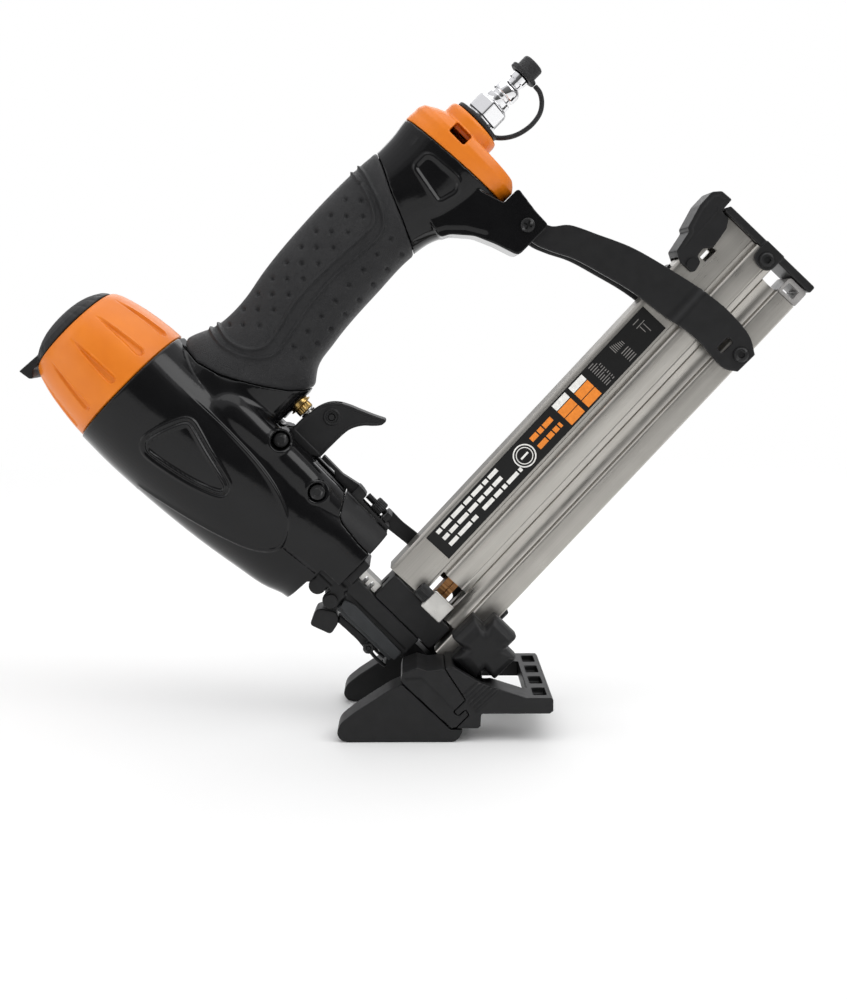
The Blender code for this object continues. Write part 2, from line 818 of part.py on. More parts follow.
def rear_strap(side):
    rings = []
    for left, right, y in STRAP_STATIONS:
        inner = side * (y - 1.3)
        outer = side * (y + 1.3)
        rings.append([
            (left[0], inner, left[1]), (right[0], inner, right[1]),
            (right[0], outer, right[1]), (left[0], outer, left[1]),
        ])
    strap = loft(rings)
    return cut(
        strap,
        rod(STRAP_SCREW, 2.3, -20, 20),
        rod(FOOT_SCREW, 2.1, -20, 20, segments=14),
        box(218, 225, -20, 20, 18, 21.5),
    )


def bracket_upper_screw():
    profile = [(3.2, -18.2), (3.2, -16.3), (1.9, -16.2), (1.9, 16.2), (3.0, 16.3), (3.0, 18.2)]
    return turned(profile, STRAP_SCREW, "y", 18)


def bracket_lower_screw(side):
    profile = [(1.8, side * 7), (1.8, side * 15.4), (3.4, side * 15.5), (3.0, side * 17.2)]
    return turned(profile, FOOT_SCREW, "y", 18)


# ---------------------------------------------------------------- base, in the level frame

BLOCK_OUTLINE = [
    (19.3, 32.4), (28.2, 18.6), (23.0, 13.4), (25.2, 11.2), (28.4, 13.9), (29.8, 11.8), (24.4, 6.4),
    (22.3, 5.9), (1.3, 25.9), (0.3, 27.5), (1.0, 30.5), (7.5, 33.0), (12.0, 31.5),
]


def rail_room():
    """Space that the magazine rail needs, in the level frame."""
    room = moved(box(-30, 230, -RAIL_HALF - 0.4, RAIL_HALF + 0.4, 1.6, 60), magazine_to_tool())
    return moved(room, tool_to_level())


def nose_room():
    """Space that the nose needs, in the level frame."""
    column = box(21.3, 30.4, -7.4, 7.4, -40, 60)
    shoulders = box(16.0, 33.4, -11.4, 11.4, 20.6, 60)
    return moved(joined(column, shoulders), tool_to_level())


def base_block():
    return cut(prism(BLOCK_OUTLINE, -BASE_HALF, BASE_HALF), nose_room(), rail_room())


def floor_plate():
    made = prism([
        (19.6, 33.0), (23.5, 33.0), (35, 26), (55, 19.5), (65.6, 19.5), (66.5, 18.5), (66.5, 13.4),
        (65, 12.4), (35.2, 12.4), (35, 7), (34, 6), (24.9, 6.0), (20, 13),
    ], -BASE_HALF, BASE_HALF)
    cut(made, prism(inset(BLOCK_OUTLINE, -GAP), -60, 60), nose_room())
    for side in (-1, 1):
        outline = rounded([(27, 28), (29, 40), (33, 46), (41, 47), (45, 41), (44.5, 20), (30, 24)], 2.0, 2)
        joined(made, prism(outline, *sorted((side * 13, side * 18))))
    cut(made, box(36.5, 56, -25, 25, 0, 60 - 34.5), rail_room(), box(36.5, 56, -25, -18.3, 0, 60))
    cut(made, box(36.5, 56, -12.7, 12.7, 0, 60), box(36.5, 56, 18.3, 25, 0, 60))
    for y in (-30.5, -10.2, 10.2, 30.5):
        cut(made, box(58.5, 64, y - 6.5, y + 6.5, 16.5, 30))
    for side in (-1, 1):
        screw_hole = rod(KNOB_AXIS, 3.3, *sorted((side * 5, side * 60)), segments=16)
        knob_room = rod(KNOB_AXIS, KNOB_R + 0.8, *sorted((side * 19, side * 37.4)), segments=32)
        cut(made, screw_hole, knob_room)
    return made


def shoe(side):
    outline = rounded([
        (-27.6, 3.4, 2), (-25.2, 0, 2), (24, 0, 1.5), (26, 1.8), (27.5, 5.5, 0.5), (22.0, 5.4, 0),
        (0.9, 25.5, 0), (-4, 23.4), (-10, 19.5), (-20, 13.0), (-26.2, 8, 3),
    ], 1.5)
    return prism(outline, *sorted((side * BASE_HALF, side * (BASE_HALF - SHOE_WIDTH))))


def lobes(angle):
    """Four soft lobes around a hand knob."""
    return 0.86 - 0.14 * math.cos(4 * angle)


def clamp_knob(side):
    head = turned([
        (12.0, side * 19.5), (KNOB_R, side * 21.5), (KNOB_R, side * 29.5), (12.2, side * 34.5),
        (7.0, side * 36.5),
    ], KNOB_AXIS, "y", 40, shape=lobes)
    return joined(head, rod(KNOB_AXIS, 2.9, *sorted((side * 12.6, side * 21)), segments=16))


# ---------------------------------------------------------------- assembly

def main():
    clear_scene()
    root = frame("root", None, (ORIGIN_SHIFT, 0, 0), 0.0)
    tool = frame("tool", root, (0, 0, 0), -TILT)
    mag = frame("magazine", tool, (MAG_START, 0, 0), -MAG_TILT)

    gloss_black = material("gloss_black", (0.012, 0.012, 0.013), 0.15, 0.0)
    matte_black = material("matte_black", (0.025, 0.025, 0.027), 0.6, 0.0)
    soft_rubber = material("soft_rubber", (0.03, 0.03, 0.032), 0.75, 0.0)
    orange = material("orange", (0.80, 0.24, 0.03), 0.35, 0.0)
    black_steel = material("black_steel", (0.03, 0.03, 0.032), 0.45, 0.8)
    bright_steel = material("bright_steel", (0.62, 0.62, 0.60), 0.25, 1.0)
    chrome = material("chrome", (0.8, 0.8, 0.8), 0.08, 1.0)
    aluminium = material("aluminium", (0.62, 0.60, 0.57), 0.35, 1.0)
    copper = material("copper_coat", (0.50, 0.27, 0.12), 0.4, 1.0)
    brass = material("brass", (0.65, 0.48, 0.20), 0.3, 1.0)
    grey_plastic = material("grey_plastic", (0.45, 0.44, 0.43), 0.5, 0.0)

    part("main_housing", main_housing(), tool, gloss_black)
    part("lower_guard", lower_guard(), tool, matte_black)
    part("handle_grip", handle_grip(), tool, soft_rubber)
    part("rear_cap", rear_cap(), tool, orange)
    part("air_plug", air_plug(), tool, chrome)
    part("dust_cap", dust_cap(), tool, soft_rubber, (241, 0, 165.3))
    part("dust_cap_strap", dust_cap_strap(), tool, soft_rubber)

    part("top_cap", top_cap(), tool, orange)
    part("exhaust_deflector", exhaust_deflector(), tool, matte_black, (AXIS, 0, CAP_TOP))
    part("deflector_screw", deflector_screw(), tool, black_steel)
    part("cylinder_sleeve", cylinder_sleeve(), tool, aluminium)
    part("piston", piston(), tool, aluminium, (AXIS, 0, 184))
    part("piston_ring", piston_ring(), tool, soft_rubber, (AXIS, 0, 184))
    part("driver_blade", driver_blade(), tool, bright_steel, (AXIS, 0, 184))
    part("bumper", bumper(), tool, soft_rubber)
    part("head_valve", head_valve(), tool, matte_black)
    part("head_valve_spring", head_valve_spring(), tool, bright_steel)

    pivot = (TRIGGER_PIVOT[0], 0, TRIGGER_PIVOT[1])
    part("trigger", trigger(), tool, matte_black, pivot)
    part("trigger_rocker", trigger_rocker(), tool, bright_steel, pivot)
    part("trigger_pivot_pin", headed_pin(TRIGGER_PIVOT, PIVOT_HEAD), tool, black_steel)
    part("guide_pin", headed_pin(GUIDE_PIN, GUIDE_HEAD), tool, black_steel)
    part("trigger_valve_body", trigger_valve_body(), tool, brass)
    part("trigger_valve_stem", trigger_valve_stem(), tool, bright_steel, (VALVE_A, 0, 121.4))
    part("trigger_valve_spring", trigger_valve_spring(), tool, bright_steel)

    part("upper_safety_arm", upper_safety_arm(), tool, black_steel)
    part("depth_wheel", depth_wheel(), tool, black_steel, (WHEEL_A, 0, 76))
    part("lower_safety_arm", lower_safety_arm(), tool, black_steel)

    hinge = (DOOR_HINGE[0], 0, DOOR_HINGE[1])
    latch = (LATCH_PIVOT[0], 0, LATCH_PIVOT[1])
    part("nose_body", nose_body(), tool, black_steel)
    part("guide_plate", guide_plate(), tool, bright_steel)
    part("nose_door", nose_door(), tool, matte_black, hinge)
    part("door_hinge_pin", door_hinge_pin(), tool, black_steel)
    part("latch_lever", latch_lever(), tool, black_steel, latch)
    part("latch_wire", latch_wire(), tool, black_steel, latch)
    part("latch_pin", latch_pin(), tool, black_steel, latch)
    part("front_block", front_block(), tool, matte_black)
    part("clamp_block", clamp_block(), tool, aluminium)
    part("clamp_screw", clamp_screw(), tool, black_steel)

    lever = (MAG_LATCH_PIVOT[0], 0, MAG_LATCH_PIVOT[1])
    part("magazine_rail", magazine_rail(), mag, aluminium)
    part("magazine_cover", magazine_cover(), mag, aluminium)
    part("rating_label", rating_label(), mag, gloss_black)
    part("fastener_stick", fastener_stick(), mag, copper)
    part("pusher", pusher(), mag, bright_steel)
    part("end_plate", end_plate(), mag, black_steel)
    part("end_screw_left", end_screw(-1), mag, black_steel)
    part("end_screw_right", end_screw(1), mag, black_steel)
    part("end_block", end_block(), mag, grey_plastic)
    part("magazine_latch", magazine_latch(), mag, matte_black, lever)
    part("magazine_latch_pin", magazine_latch_pin(), mag, black_steel)
    part("latch_leaf_spring", latch_leaf_spring(), mag, black_steel)

    part("rear_bracket_left", rear_strap(-1), tool, black_steel)
    part("rear_bracket_right", rear_strap(1), tool, black_steel)
    part("bracket_upper_screw", bracket_upper_screw(), tool, black_steel)
    part("bracket_lower_screw_left", bracket_lower_screw(-1), tool, black_steel)
    part("bracket_lower_screw_right", bracket_lower_screw(1), tool, black_steel)

    part("base_block", base_block(), root, matte_black)
    part("floor_plate", floor_plate(), root, matte_black)
    part("left_shoe", shoe(-1), root, matte_black)
    part("right_shoe", shoe(1), root, matte_black)
    knob = (KNOB_AXIS[0], 0, KNOB_AXIS[1])
    part("left_knob", clamp_knob(-1), root, matte_black, knob)
    part("right_knob", clamp_knob(1), root, matte_black, knob)


main()
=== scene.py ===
"""Looks for the pneumatic flooring nailer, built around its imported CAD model.

Sketches are in millimetres in three frames, as in the part's own source:
  tool      a runs along the magazine, b along the driver, tipped 45 degrees from the floor
  magazine  the tool frame moved to the nose and turned a little further
  level     a along the floor, b straight up
"""
import json
import math

import bmesh
import bpy
import numpy as np
from mathutils import Matrix, Vector

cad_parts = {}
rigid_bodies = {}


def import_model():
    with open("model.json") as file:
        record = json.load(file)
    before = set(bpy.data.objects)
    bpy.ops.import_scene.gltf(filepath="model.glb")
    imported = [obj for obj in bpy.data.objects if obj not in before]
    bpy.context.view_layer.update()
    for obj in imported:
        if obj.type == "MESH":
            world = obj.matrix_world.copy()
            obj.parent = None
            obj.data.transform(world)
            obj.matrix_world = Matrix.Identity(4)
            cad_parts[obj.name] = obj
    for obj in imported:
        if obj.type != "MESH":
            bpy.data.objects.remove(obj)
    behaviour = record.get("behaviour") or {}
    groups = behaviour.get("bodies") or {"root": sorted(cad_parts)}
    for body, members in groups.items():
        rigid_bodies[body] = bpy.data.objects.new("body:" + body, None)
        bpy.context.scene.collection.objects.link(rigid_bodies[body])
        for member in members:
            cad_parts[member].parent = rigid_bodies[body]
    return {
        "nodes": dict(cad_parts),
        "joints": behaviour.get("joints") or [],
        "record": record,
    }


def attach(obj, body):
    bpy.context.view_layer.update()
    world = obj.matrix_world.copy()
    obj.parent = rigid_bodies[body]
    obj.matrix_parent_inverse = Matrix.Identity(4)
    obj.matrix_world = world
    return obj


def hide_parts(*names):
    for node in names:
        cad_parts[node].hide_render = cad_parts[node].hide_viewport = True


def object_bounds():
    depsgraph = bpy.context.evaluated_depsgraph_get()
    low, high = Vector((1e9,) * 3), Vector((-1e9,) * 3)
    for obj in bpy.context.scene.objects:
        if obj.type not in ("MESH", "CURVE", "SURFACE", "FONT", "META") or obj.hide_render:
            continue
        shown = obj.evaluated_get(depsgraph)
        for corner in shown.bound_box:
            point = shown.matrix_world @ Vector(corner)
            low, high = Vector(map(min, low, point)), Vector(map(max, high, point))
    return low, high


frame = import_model()
cad_low, cad_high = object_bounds()

MM = 0.001
AXIS = 23.0
KNOB_AXIS = (37.0, 39.2)
MAG_START = 45.0
MAG_TILT = math.radians(2.2)
TRIGGER_PIVOT = (54.8, 128.3)
GUIDE_PIN = (50.0, 101.0)
WHEEL_A = 62.3
DOOR_HINGE = (18.0, 62.0)
LATCH_PIVOT = (13.5, 34.0)
STRAP_SCREW = (196.5, 118.0)
FOOT_SCREW = (223.5, 12.0)
END_SCREW = (216.0, 25.4)
MAG_LATCH_PIVOT = (193.0, 47.6)
PIVOT_HEAD = 20.3
GUIDE_HEAD = 23.2
HEAD_HEIGHT = 2.0
PLUG_AXIS = (0, 165.3)
PLUG_BORE = (0, 165.5)
PLUG_BORE_R = 10.5
ROCKER_PIN = (76.5, 119.5)
CLAMP_SCREW = (50.6, -15.4)

knob_joint = next(j for j in frame["joints"] if j["name"] == "left_knob_turn")
ORIGIN = Vector((knob_joint["pos_m"][0] - KNOB_AXIS[0] * MM, 0, 0))
LEVEL = Matrix.Translation(ORIGIN)
TOOL = LEVEL @ Matrix.Rotation(math.radians(-45), 4, "Y")
ALONG_MAG = (0.0, -math.radians(45) - MAG_TILT, 0.0)
MAG = TOOL @ Matrix.Translation((MAG_START * MM, 0, 0)) @ Matrix.Rotation(-MAG_TILT, 4, "Y")


# ---------------------------------------------------------------- node materials

class Shader:
    """Small helper that wires a Principled material node by node."""

    def __init__(self, name, colour, roughness, metallic=0.0, **sockets):
        self.material = bpy.data.materials.new(name)
        self.material.use_nodes = True
        self.tree = self.material.node_tree
        self.bsdf = self.tree.nodes["Principled BSDF"]
        self.set("Base Color", (*colour, 1.0))
        self.set("Roughness", roughness)
        self.set("Metallic", metallic)
        for socket, value in sockets.items():
            self.set(socket.replace("_", " "), value)
        self.coordinates = self.tree.nodes.new("ShaderNodeTexCoord")
        self.height = None

    def set(self, socket, value):
        self.bsdf.inputs[socket].default_value = value

    def node(self, kind, **values):
        made = self.tree.nodes.new(kind)
        for key, value in values.items():
            if key in made.inputs:
                made.inputs[key].default_value = value
            else:
                setattr(made, key, value)
        return made

    def link(self, out, into):
        self.tree.links.new(out, into)

    def place(self, scale=(1, 1, 1), turn=(0, 0, 0)):
        """Object coordinates in a turned frame, then scaled per axis."""
        mapping = self.node("ShaderNodeMapping", vector_type="TEXTURE")
        mapping.inputs["Scale"].default_value = [1 / value for value in scale]
        mapping.inputs["Rotation"].default_value = turn
        self.link(self.coordinates.outputs["Object"], mapping.inputs["Vector"])
        return mapping.outputs["Vector"]

    def noise(self, scale, detail=4.0, roughness=0.55, stretch=(1, 1, 1), turn=(0, 0, 0)):
        made = self.node("ShaderNodeTexNoise", Scale=scale, Detail=detail, Roughness=roughness)
        self.link(self.place(stretch, turn), made.inputs["Vector"])
        return made.outputs["Fac"]

    def cells(self, scale, feature="F1", randomness=1.0):
        made = self.node("ShaderNodeTexVoronoi", Scale=scale, Randomness=randomness)
        made.feature = feature
        self.link(self.place(), made.inputs["Vector"])
        return made.outputs["Distance"]

    def ramp(self, value, stops):
        made = self.tree.nodes.new("ShaderNodeValToRGB")
        points = made.color_ramp.elements
        while len(points) < len(stops):
            points.new(0.5)
        for point, (at, colour) in zip(points, stops):
            point.position = at
            point.color = (*colour, 1.0) if len(colour) == 3 else colour
        self.link(value, made.inputs["Fac"])
        return made.outputs["Color"]

    def range(self, value, low, high, from_low=0.0, from_high=1.0):
        made = self.node("ShaderNodeMapRange")
        made.inputs["From Min"].default_value = from_low
        made.inputs["From Max"].default_value = from_high
        made.inputs["To Min"].default_value = low
        made.inputs["To Max"].default_value = high
        self.link(value, made.inputs["Value"])
        return made.outputs["Result"]

    def math(self, operation, first, second):
        made = self.node("ShaderNodeMath", operation=operation)
        for slot, value in enumerate((first, second)):
            if isinstance(value, (int, float)):
                made.inputs[slot].default_value = value
            else:
                self.link(value, made.inputs[slot])
        return made.outputs[0]

    def mix(self, factor, first, second, blend="MIX"):
        made = self.node("ShaderNodeMix", data_type="RGBA", blend_type=blend)
        for slot, value in ((0, factor), (6, first), (7, second)):
            if isinstance(value, (int, float)):
                made.inputs[slot].default_value = value
            elif isinstance(value, tuple):
                made.inputs[slot].default_value = (*value, 1.0)
            else:
                self.link(value, made.inputs[slot])
        return made.outputs[2]

    def bump(self, height, strength, distance):
        made = self.node("ShaderNodeBump", Strength=strength, Distance=distance)
        self.link(height, made.inputs["Height"])
        if self.height is not None:
            self.link(self.height, made.inputs["Normal"])
        self.height = made.outputs["Normal"]
        self.link(self.height, self.bsdf.inputs["Normal"])

    def colour(self, value):
        self.link(value, self.bsdf.inputs["Base Color"])

    def roughness(self, value):
        self.link(value, self.bsdf.inputs["Roughness"])


def edge_wear(shader, base, worn, amount):
    """Mixes a worn colour in where a fine skin is convex."""
    if not amount:
        return base
    pointy = shader.tree.nodes.new("ShaderNodeNewGeometry").outputs["Pointiness"]
    edge = shader.range(pointy, 0.0, 1.0, 0.545, 0.64)
    broken = shader.range(shader.noise(350, 5), 0.0, 1.0, 0.42, 0.62)
    factor = shader.math("MULTIPLY", shader.math("MULTIPLY", edge, broken), amount)
    return shader.mix(factor, base, worn)


def gloss_black():
    s = Shader("gloss_black", (0.004, 0.004, 0.0045), 0.12, Specular_IOR_Level=0.30)
    s.colour(edge_wear(s, s.ramp(s.noise(60, 3),
                                 [(0.3, (0.0032, 0.0032, 0.0036)), (0.7, (0.0052, 0.0052, 0.0056))]),
                       (0.03, 0.03, 0.03), 0.2))
    s.roughness(s.range(s.noise(90, 5), 0.08, 0.17))
    s.bump(s.noise(140, 3), 0.06, 0.0006)
    s.bump(s.noise(900, 2), 0.05, 0.0001)
    return s.material


def rubber():
    s = Shader("grip_rubber", (0.012, 0.012, 0.013), 0.42, Specular_IOR_Level=0.34)
    s.colour(edge_wear(s, s.ramp(s.noise(120, 4),
                                 [(0.3, (0.008, 0.008, 0.009)), (0.7, (0.014, 0.014, 0.015))]),
                       (0.07, 0.07, 0.07), 0.4))
    grain = s.cells(1500, "DISTANCE_TO_EDGE")
    s.roughness(s.range(s.noise(300, 4), 0.36, 0.52))
    s.bump(s.range(grain, 0.0, 1.0, 0.0, 0.30), 0.6, 0.00022)
    s.bump(s.noise(2600, 2), 0.3, 0.0001)
    return s.material


def moulded_black(name="moulded_black", base=(0.011, 0.011, 0.0115), rough=(0.38, 0.52), wear=0.5):
    s = Shader(name, base, 0.45, Specular_IOR_Level=0.25)
    low = tuple(0.9 * c for c in base)
    high = tuple(1.15 * c for c in base)
    s.colour(edge_wear(s, s.ramp(s.noise(150, 4), [(0.3, low), (0.7, high)]), (0.09, 0.09, 0.09), wear))
    s.roughness(s.range(s.noise(400, 4), rough[0], rough[1]))
    s.bump(s.noise(1600, 3), 0.30, 0.00012)
    return s.material


def orange_shell():
    s = Shader("orange_shell", (0.70, 0.175, 0.006), 0.32, Specular_IOR_Level=0.4)
    s.colour(edge_wear(s, s.ramp(s.noise(70, 4),
                                 [(0.25, (0.66, 0.160, 0.004)), (0.75, (0.73, 0.195, 0.007))]),
                       (0.88, 0.34, 0.08), 0.4))
    s.roughness(s.range(s.noise(200, 4), 0.28, 0.42))
    s.bump(s.noise(1400, 3), 0.22, 0.00010)
    return s.material


def black_steel(name="black_steel", base=(0.013, 0.013, 0.0135), rough=(0.30, 0.44), wear=0.5):
    s = Shader(name, base, 0.4, 0.15, Specular_IOR_Level=0.3)
    low = tuple(0.88 * c for c in base)
    high = tuple(1.15 * c for c in base)
    s.colour(edge_wear(s, s.ramp(s.noise(180, 5), [(0.3, low), (0.7, high)]), (0.20, 0.20, 0.20), wear))
    s.roughness(s.range(s.noise(260, 5), rough[0], rough[1]))
    s.bump(s.noise(900, 4), 0.18, 0.00012)
    return s.material


def bright_steel():
    s = Shader("bright_steel", (0.60, 0.59, 0.56), 0.26, 1.0)
    s.colour(s.ramp(s.noise(120, 4), [(0.3, (0.50, 0.49, 0.47)), (0.7, (0.66, 0.65, 0.62))]))
    s.roughness(s.range(s.noise(500, 5), 0.24, 0.36))
    s.bump(s.noise(1400, 3), 0.03, 0.00006)
    return s.material


def chrome():
    s = Shader("chrome_plate", (0.80, 0.80, 0.81), 0.07, 1.0)
    s.roughness(s.range(s.noise(160, 4), 0.04, 0.13))
    s.bump(s.noise(600, 3), 0.05, 0.00008)
    return s.material


def extruded_aluminium():
    """Drawn aluminium: die lines run along the magazine."""
    s = Shader("extruded_aluminium", (0.46, 0.445, 0.41), 0.34, 0.94)
    lines = s.noise(2600, 3, 0.7, (0.010, 1.0, 1.0), ALONG_MAG)
    broad = s.noise(320, 3, 0.6, (0.02, 1.0, 1.0), ALONG_MAG)
    s.colour(s.mix(0.5, s.ramp(lines, [(0.3, (0.40, 0.385, 0.355)), (0.7, (0.52, 0.50, 0.465))]),
                   s.ramp(broad, [(0.3, (0.41, 0.395, 0.365)), (0.7, (0.51, 0.49, 0.455))])))
    s.roughness(s.range(s.math("ADD", lines, s.noise(90, 4)), 0.26, 0.42, 0.7, 1.3))
    s.bump(lines, 0.22, 0.00006)
    return s.material


def copper_coat():
    s = Shader("copper_coat", (0.42, 0.20, 0.075), 0.38, 0.85)
    wires = s.noise(900, 2, 0.5, (1.0, 0.02, 0.02), ALONG_MAG)
    s.colour(s.ramp(wires, [(0.35, (0.26, 0.12, 0.045)), (0.65, (0.52, 0.27, 0.11))]))
    s.bump(wires, 0.5, 0.0002)
    return s.material


def brass():
    s = Shader("brass_turned", (0.42, 0.28, 0.10), 0.25, 1.0)
    s.roughness(s.range(s.noise(400, 4), 0.18, 0.34))
    s.bump(s.noise(900, 3), 0.08, 0.0001)
    return s.material


def grey_plastic():
    s = Shader("smoky_plastic", (0.38, 0.37, 0.36), 0.32, Transmission_Weight=0.25)
    s.roughness(s.range(s.noise(200, 4), 0.26, 0.42))
    s.bump(s.noise(700, 3), 0.15, 0.0001)
    return s.material


def printed(name, base, rough=0.35):
    s = Shader(name, base, rough, Specular_IOR_Level=0.25)
    low = tuple(0.88 * c for c in base)
    high = tuple(min(1, 1.06 * c) for c in base)
    s.colour(s.ramp(s.noise(500, 3), [(0.3, low), (0.7, high)]))
    s.roughness(s.range(s.noise(800, 3), rough - 0.06, rough + 0.06))
    s.bump(s.noise(1500, 2), 0.08, 0.00005)
    return s.material


LOOKS = {
    "gloss_black": gloss_black(),
    "soft_rubber": rubber(),
    "matte_black": moulded_black(),
    "cast_black": black_steel("cast_black", (0.013, 0.013, 0.0135), (0.36, 0.5)),
    "orange": orange_shell(),
    "black_steel": black_steel(),
    "bright_steel": bright_steel(),
    "chrome": chrome(),
    "aluminium_profile": extruded_aluminium(),
    "copper_coat": copper_coat(),
    "brass": brass(),
    "grey_plastic": grey_plastic(),
    "label": printed("label_black", (0.006, 0.006, 0.006), 0.3),
}
PLAIN = {
    "matte_black": moulded_black("moulded_black_plain", wear=0),
    "cast_black": moulded_black("cast_black_plain", wear=0),
    "black_steel": black_steel("black_steel_plain", wear=0),
}
SLOT_OF = {row["node"]: row["material_slot"] for row in frame["record"]["subparts"]}


# ---------------------------------------------------------------- shapes, in millimetres

def solid(bm, name="solid"):
    """Turns a bmesh into a temporary object."""
    bmesh.ops.recalc_face_normals(bm, faces=bm.faces)
    mesh = bpy.data.meshes.new(name)
    bm.to_mesh(mesh)
    bm.free()
    made = bpy.data.objects.new(name, mesh)
    bpy.context.collection.objects.link(made)
    return made


def loft(rings, closed=False):
    """Skins rings of equal point count; the ends are capped unless the loft closes on itself."""
    bm = bmesh.new()
    loops = [[bm.verts.new(point) for point in ring] for ring in rings]
    count = len(rings[0])
    pairs = list(zip(loops, loops[1:]))
    if closed:
        pairs.append((loops[-1], loops[0]))
    for low, high in pairs:
        for k in range(count):
            n = (k + 1) % count
            bm.faces.new((low[k], low[n], high[n], high[k]))
    if not closed:
        bm.faces.new(loops[0])
        bm.faces.new(loops[-1])
    return solid(bm)


def prism(outline, y0, y1):
    return loft([[(a, y, b) for a, b in outline] for y in (y0, y1)])


def span(side, near, far):
    """The y limits of something between two distances out from the middle, on one side."""
    return sorted((side * near, side * far))


def box(a0, a1, y0, y1, b0, b1):
    return prism([(a0, b0), (a1, b0), (a1, b1), (a0, b1)], y0, y1)


def turned(profile, centre, axis="b", segments=64, ring=False, shape=None):
    """Revolves (radius, height) points about an axis through centre."""
    def place(radius, height, angle):
        if shape is not None:
            radius = shape(radius, height, angle)
        c = radius * math.cos(angle)
        s = radius * math.sin(angle)
        if axis == "b":
            return (centre[0] + c, centre[1] + s, height)
        if axis == "a":
            return (height, centre[0] + c, centre[1] + s)
        return (centre[0] + c, height, centre[1] + s)

    angles = [2 * math.pi * (k + 0.5) / segments for k in range(segments)]
    return loft([[place(r, t, angle) for angle in angles] for r, t in profile], closed=ring)


def rod(centre, radius, t0, t1, axis="y", segments=40):
    return turned([(radius, t0), (radius, t1)], centre, axis, segments)


def curve_through(points, steps=8, closed=False):
    """Catmull-Rom points through a list of points of any dimension."""
    knots = [Vector(p) for p in points]
    if closed:
        knots = [knots[-1]] + knots + knots[:2]
    else:
        knots = [knots[0] * 2 - knots[1]] + knots + [knots[-1] * 2 - knots[-2]]
    out = []
    for p0, p1, p2, p3 in zip(knots, knots[1:], knots[2:], knots[3:]):
        for k in range(steps):
            t = k / steps
            out.append(0.5 * (2 * p1 + (p2 - p0) * t + (2 * p0 - 5 * p1 + 4 * p2 - p3) * t * t
                              + (3 * p1 - p0 - 3 * p2 + p3) * t ** 3))
    if not closed:
        out.append(knots[-2])
    return [tuple(p) for p in out]


def pipe(path, radius, sides=16, flat=1.0):
    """Round or oval bar swept along points; flat squeezes it across the path's own plane."""
    points = [Vector(p) for p in path]
    rings = []
    side = Vector((0, 1, 0))
    for i, point in enumerate(points):
        back = (point - points[i - 1]).normalized() if i else None
        ahead = (points[i + 1] - point).normalized() if i + 1 < len(points) else None
        along = ((back or ahead) + (ahead or back)).normalized()
        side = (side - along * side.dot(along)).normalized()
        up = along.cross(side)
        grow = 1.0 / max(0.5, along.dot(ahead or back))
        turns = [2 * math.pi * k / sides for k in range(sides)]
        rings.append([point + (side * math.cos(t) * flat + up * math.sin(t)) * radius * grow for t in turns])
    return loft(rings)


def spring(centre, b0, b1, radius, wire, turns):
    steps = int(turns * 28)
    path = [
        (
            centre[0] + radius * math.cos(2 * math.pi * turns * k / steps),
            centre[1] + radius * math.sin(2 * math.pi * turns * k / steps),
            b0 + wire + (b1 - b0 - 2 * wire) * k / steps,
        )
        for k in range(steps + 1)
    ]
    return pipe(path, wire, sides=10)


def rounded(points, radius, steps=6):
    """Rounds every corner of an outline; a third number in a point is its own radius."""
    out = []
    for i, point in enumerate(points):
        corner = Vector(point[:2])
        own = point[2] if len(point) > 2 else radius
        before = Vector(points[i - 1][:2]) - corner
        after = Vector(points[(i + 1) % len(points)][:2]) - corner
        cut_back = min(own, before.length * 0.45, after.length * 0.45)
        if cut_back < 0.05:
            out.append((corner.x, corner.y))
            continue
        start = corner + before.normalized() * cut_back
        end = corner + after.normalized() * cut_back
        for k in range(steps + 1):
            t = k / steps
            bend = start * (1 - t) ** 2 + corner * 2 * t * (1 - t) + end * t ** 2
            out.append((bend.x, bend.y))
    return out


def inset(points, distance):
    """Moves every edge of an outline inwards."""
    area = sum(p[0] * q[1] - q[0] * p[1] for p, q in zip(points, points[1:] + points[:1]))
    sign = 1.0 if area > 0 else -1.0
    out = []
    for i, point in enumerate(points):
        corner = Vector(point)
        before = (corner - Vector(points[i - 1])).normalized()
        after = (Vector(points[(i + 1) % len(points)]) - corner).normalized()
        n0 = Vector((-before.y, before.x)) * sign
        n1 = Vector((-after.y, after.x)) * sign
        mitre = (n0 + n1).normalized()
        at = corner + mitre * (distance / max(0.3, mitre.dot(n0)))
        out.append((at.x, at.y))
    return out


def squircle(half_a, half_b, power, count):
    """Points of a superellipse, evenly spread by angle."""
    out = []
    for k in range(count):
        angle = 2 * math.pi * (k + 0.5) / count
        c = math.cos(angle)
        s = math.sin(angle)
        reach = (abs(c) ** power + abs(s) ** power) ** (-1 / power)
        out.append((half_a * c * reach, half_b * s * reach))
    return out


def smooth_rows(table, step):
    """Rows of a section table, read at even steps along a smooth curve."""
    rows = np.array(table, float)
    at_knot = rows[:, 0]
    slopes = np.gradient(rows[:, 1:], at_knot, axis=0)
    at = np.append(np.arange(at_knot[0], at_knot[-1] - step / 3, step), at_knot[-1])
    k = np.clip(np.searchsorted(at_knot, at, "right") - 1, 0, len(at_knot) - 2)
    span = (at_knot[k + 1] - at_knot[k])[:, None]
    t = (at - at_knot[k])[:, None] / span
    values = ((2 * t ** 3 - 3 * t ** 2 + 1) * rows[k, 1:] + (t ** 3 - 2 * t ** 2 + t) * span * slopes[k]
              + (3 * t ** 2 - 2 * t ** 3) * rows[k + 1, 1:] + (t ** 3 - t ** 2) * span * slopes[k + 1])
    return np.column_stack([at, values])


def apply_modifiers(made):
    graph = bpy.context.evaluated_depsgraph_get()
    mesh = bpy.data.meshes.new_from_object(made.evaluated_get(graph))
    made.modifiers.clear()
    made.data = mesh
    return made


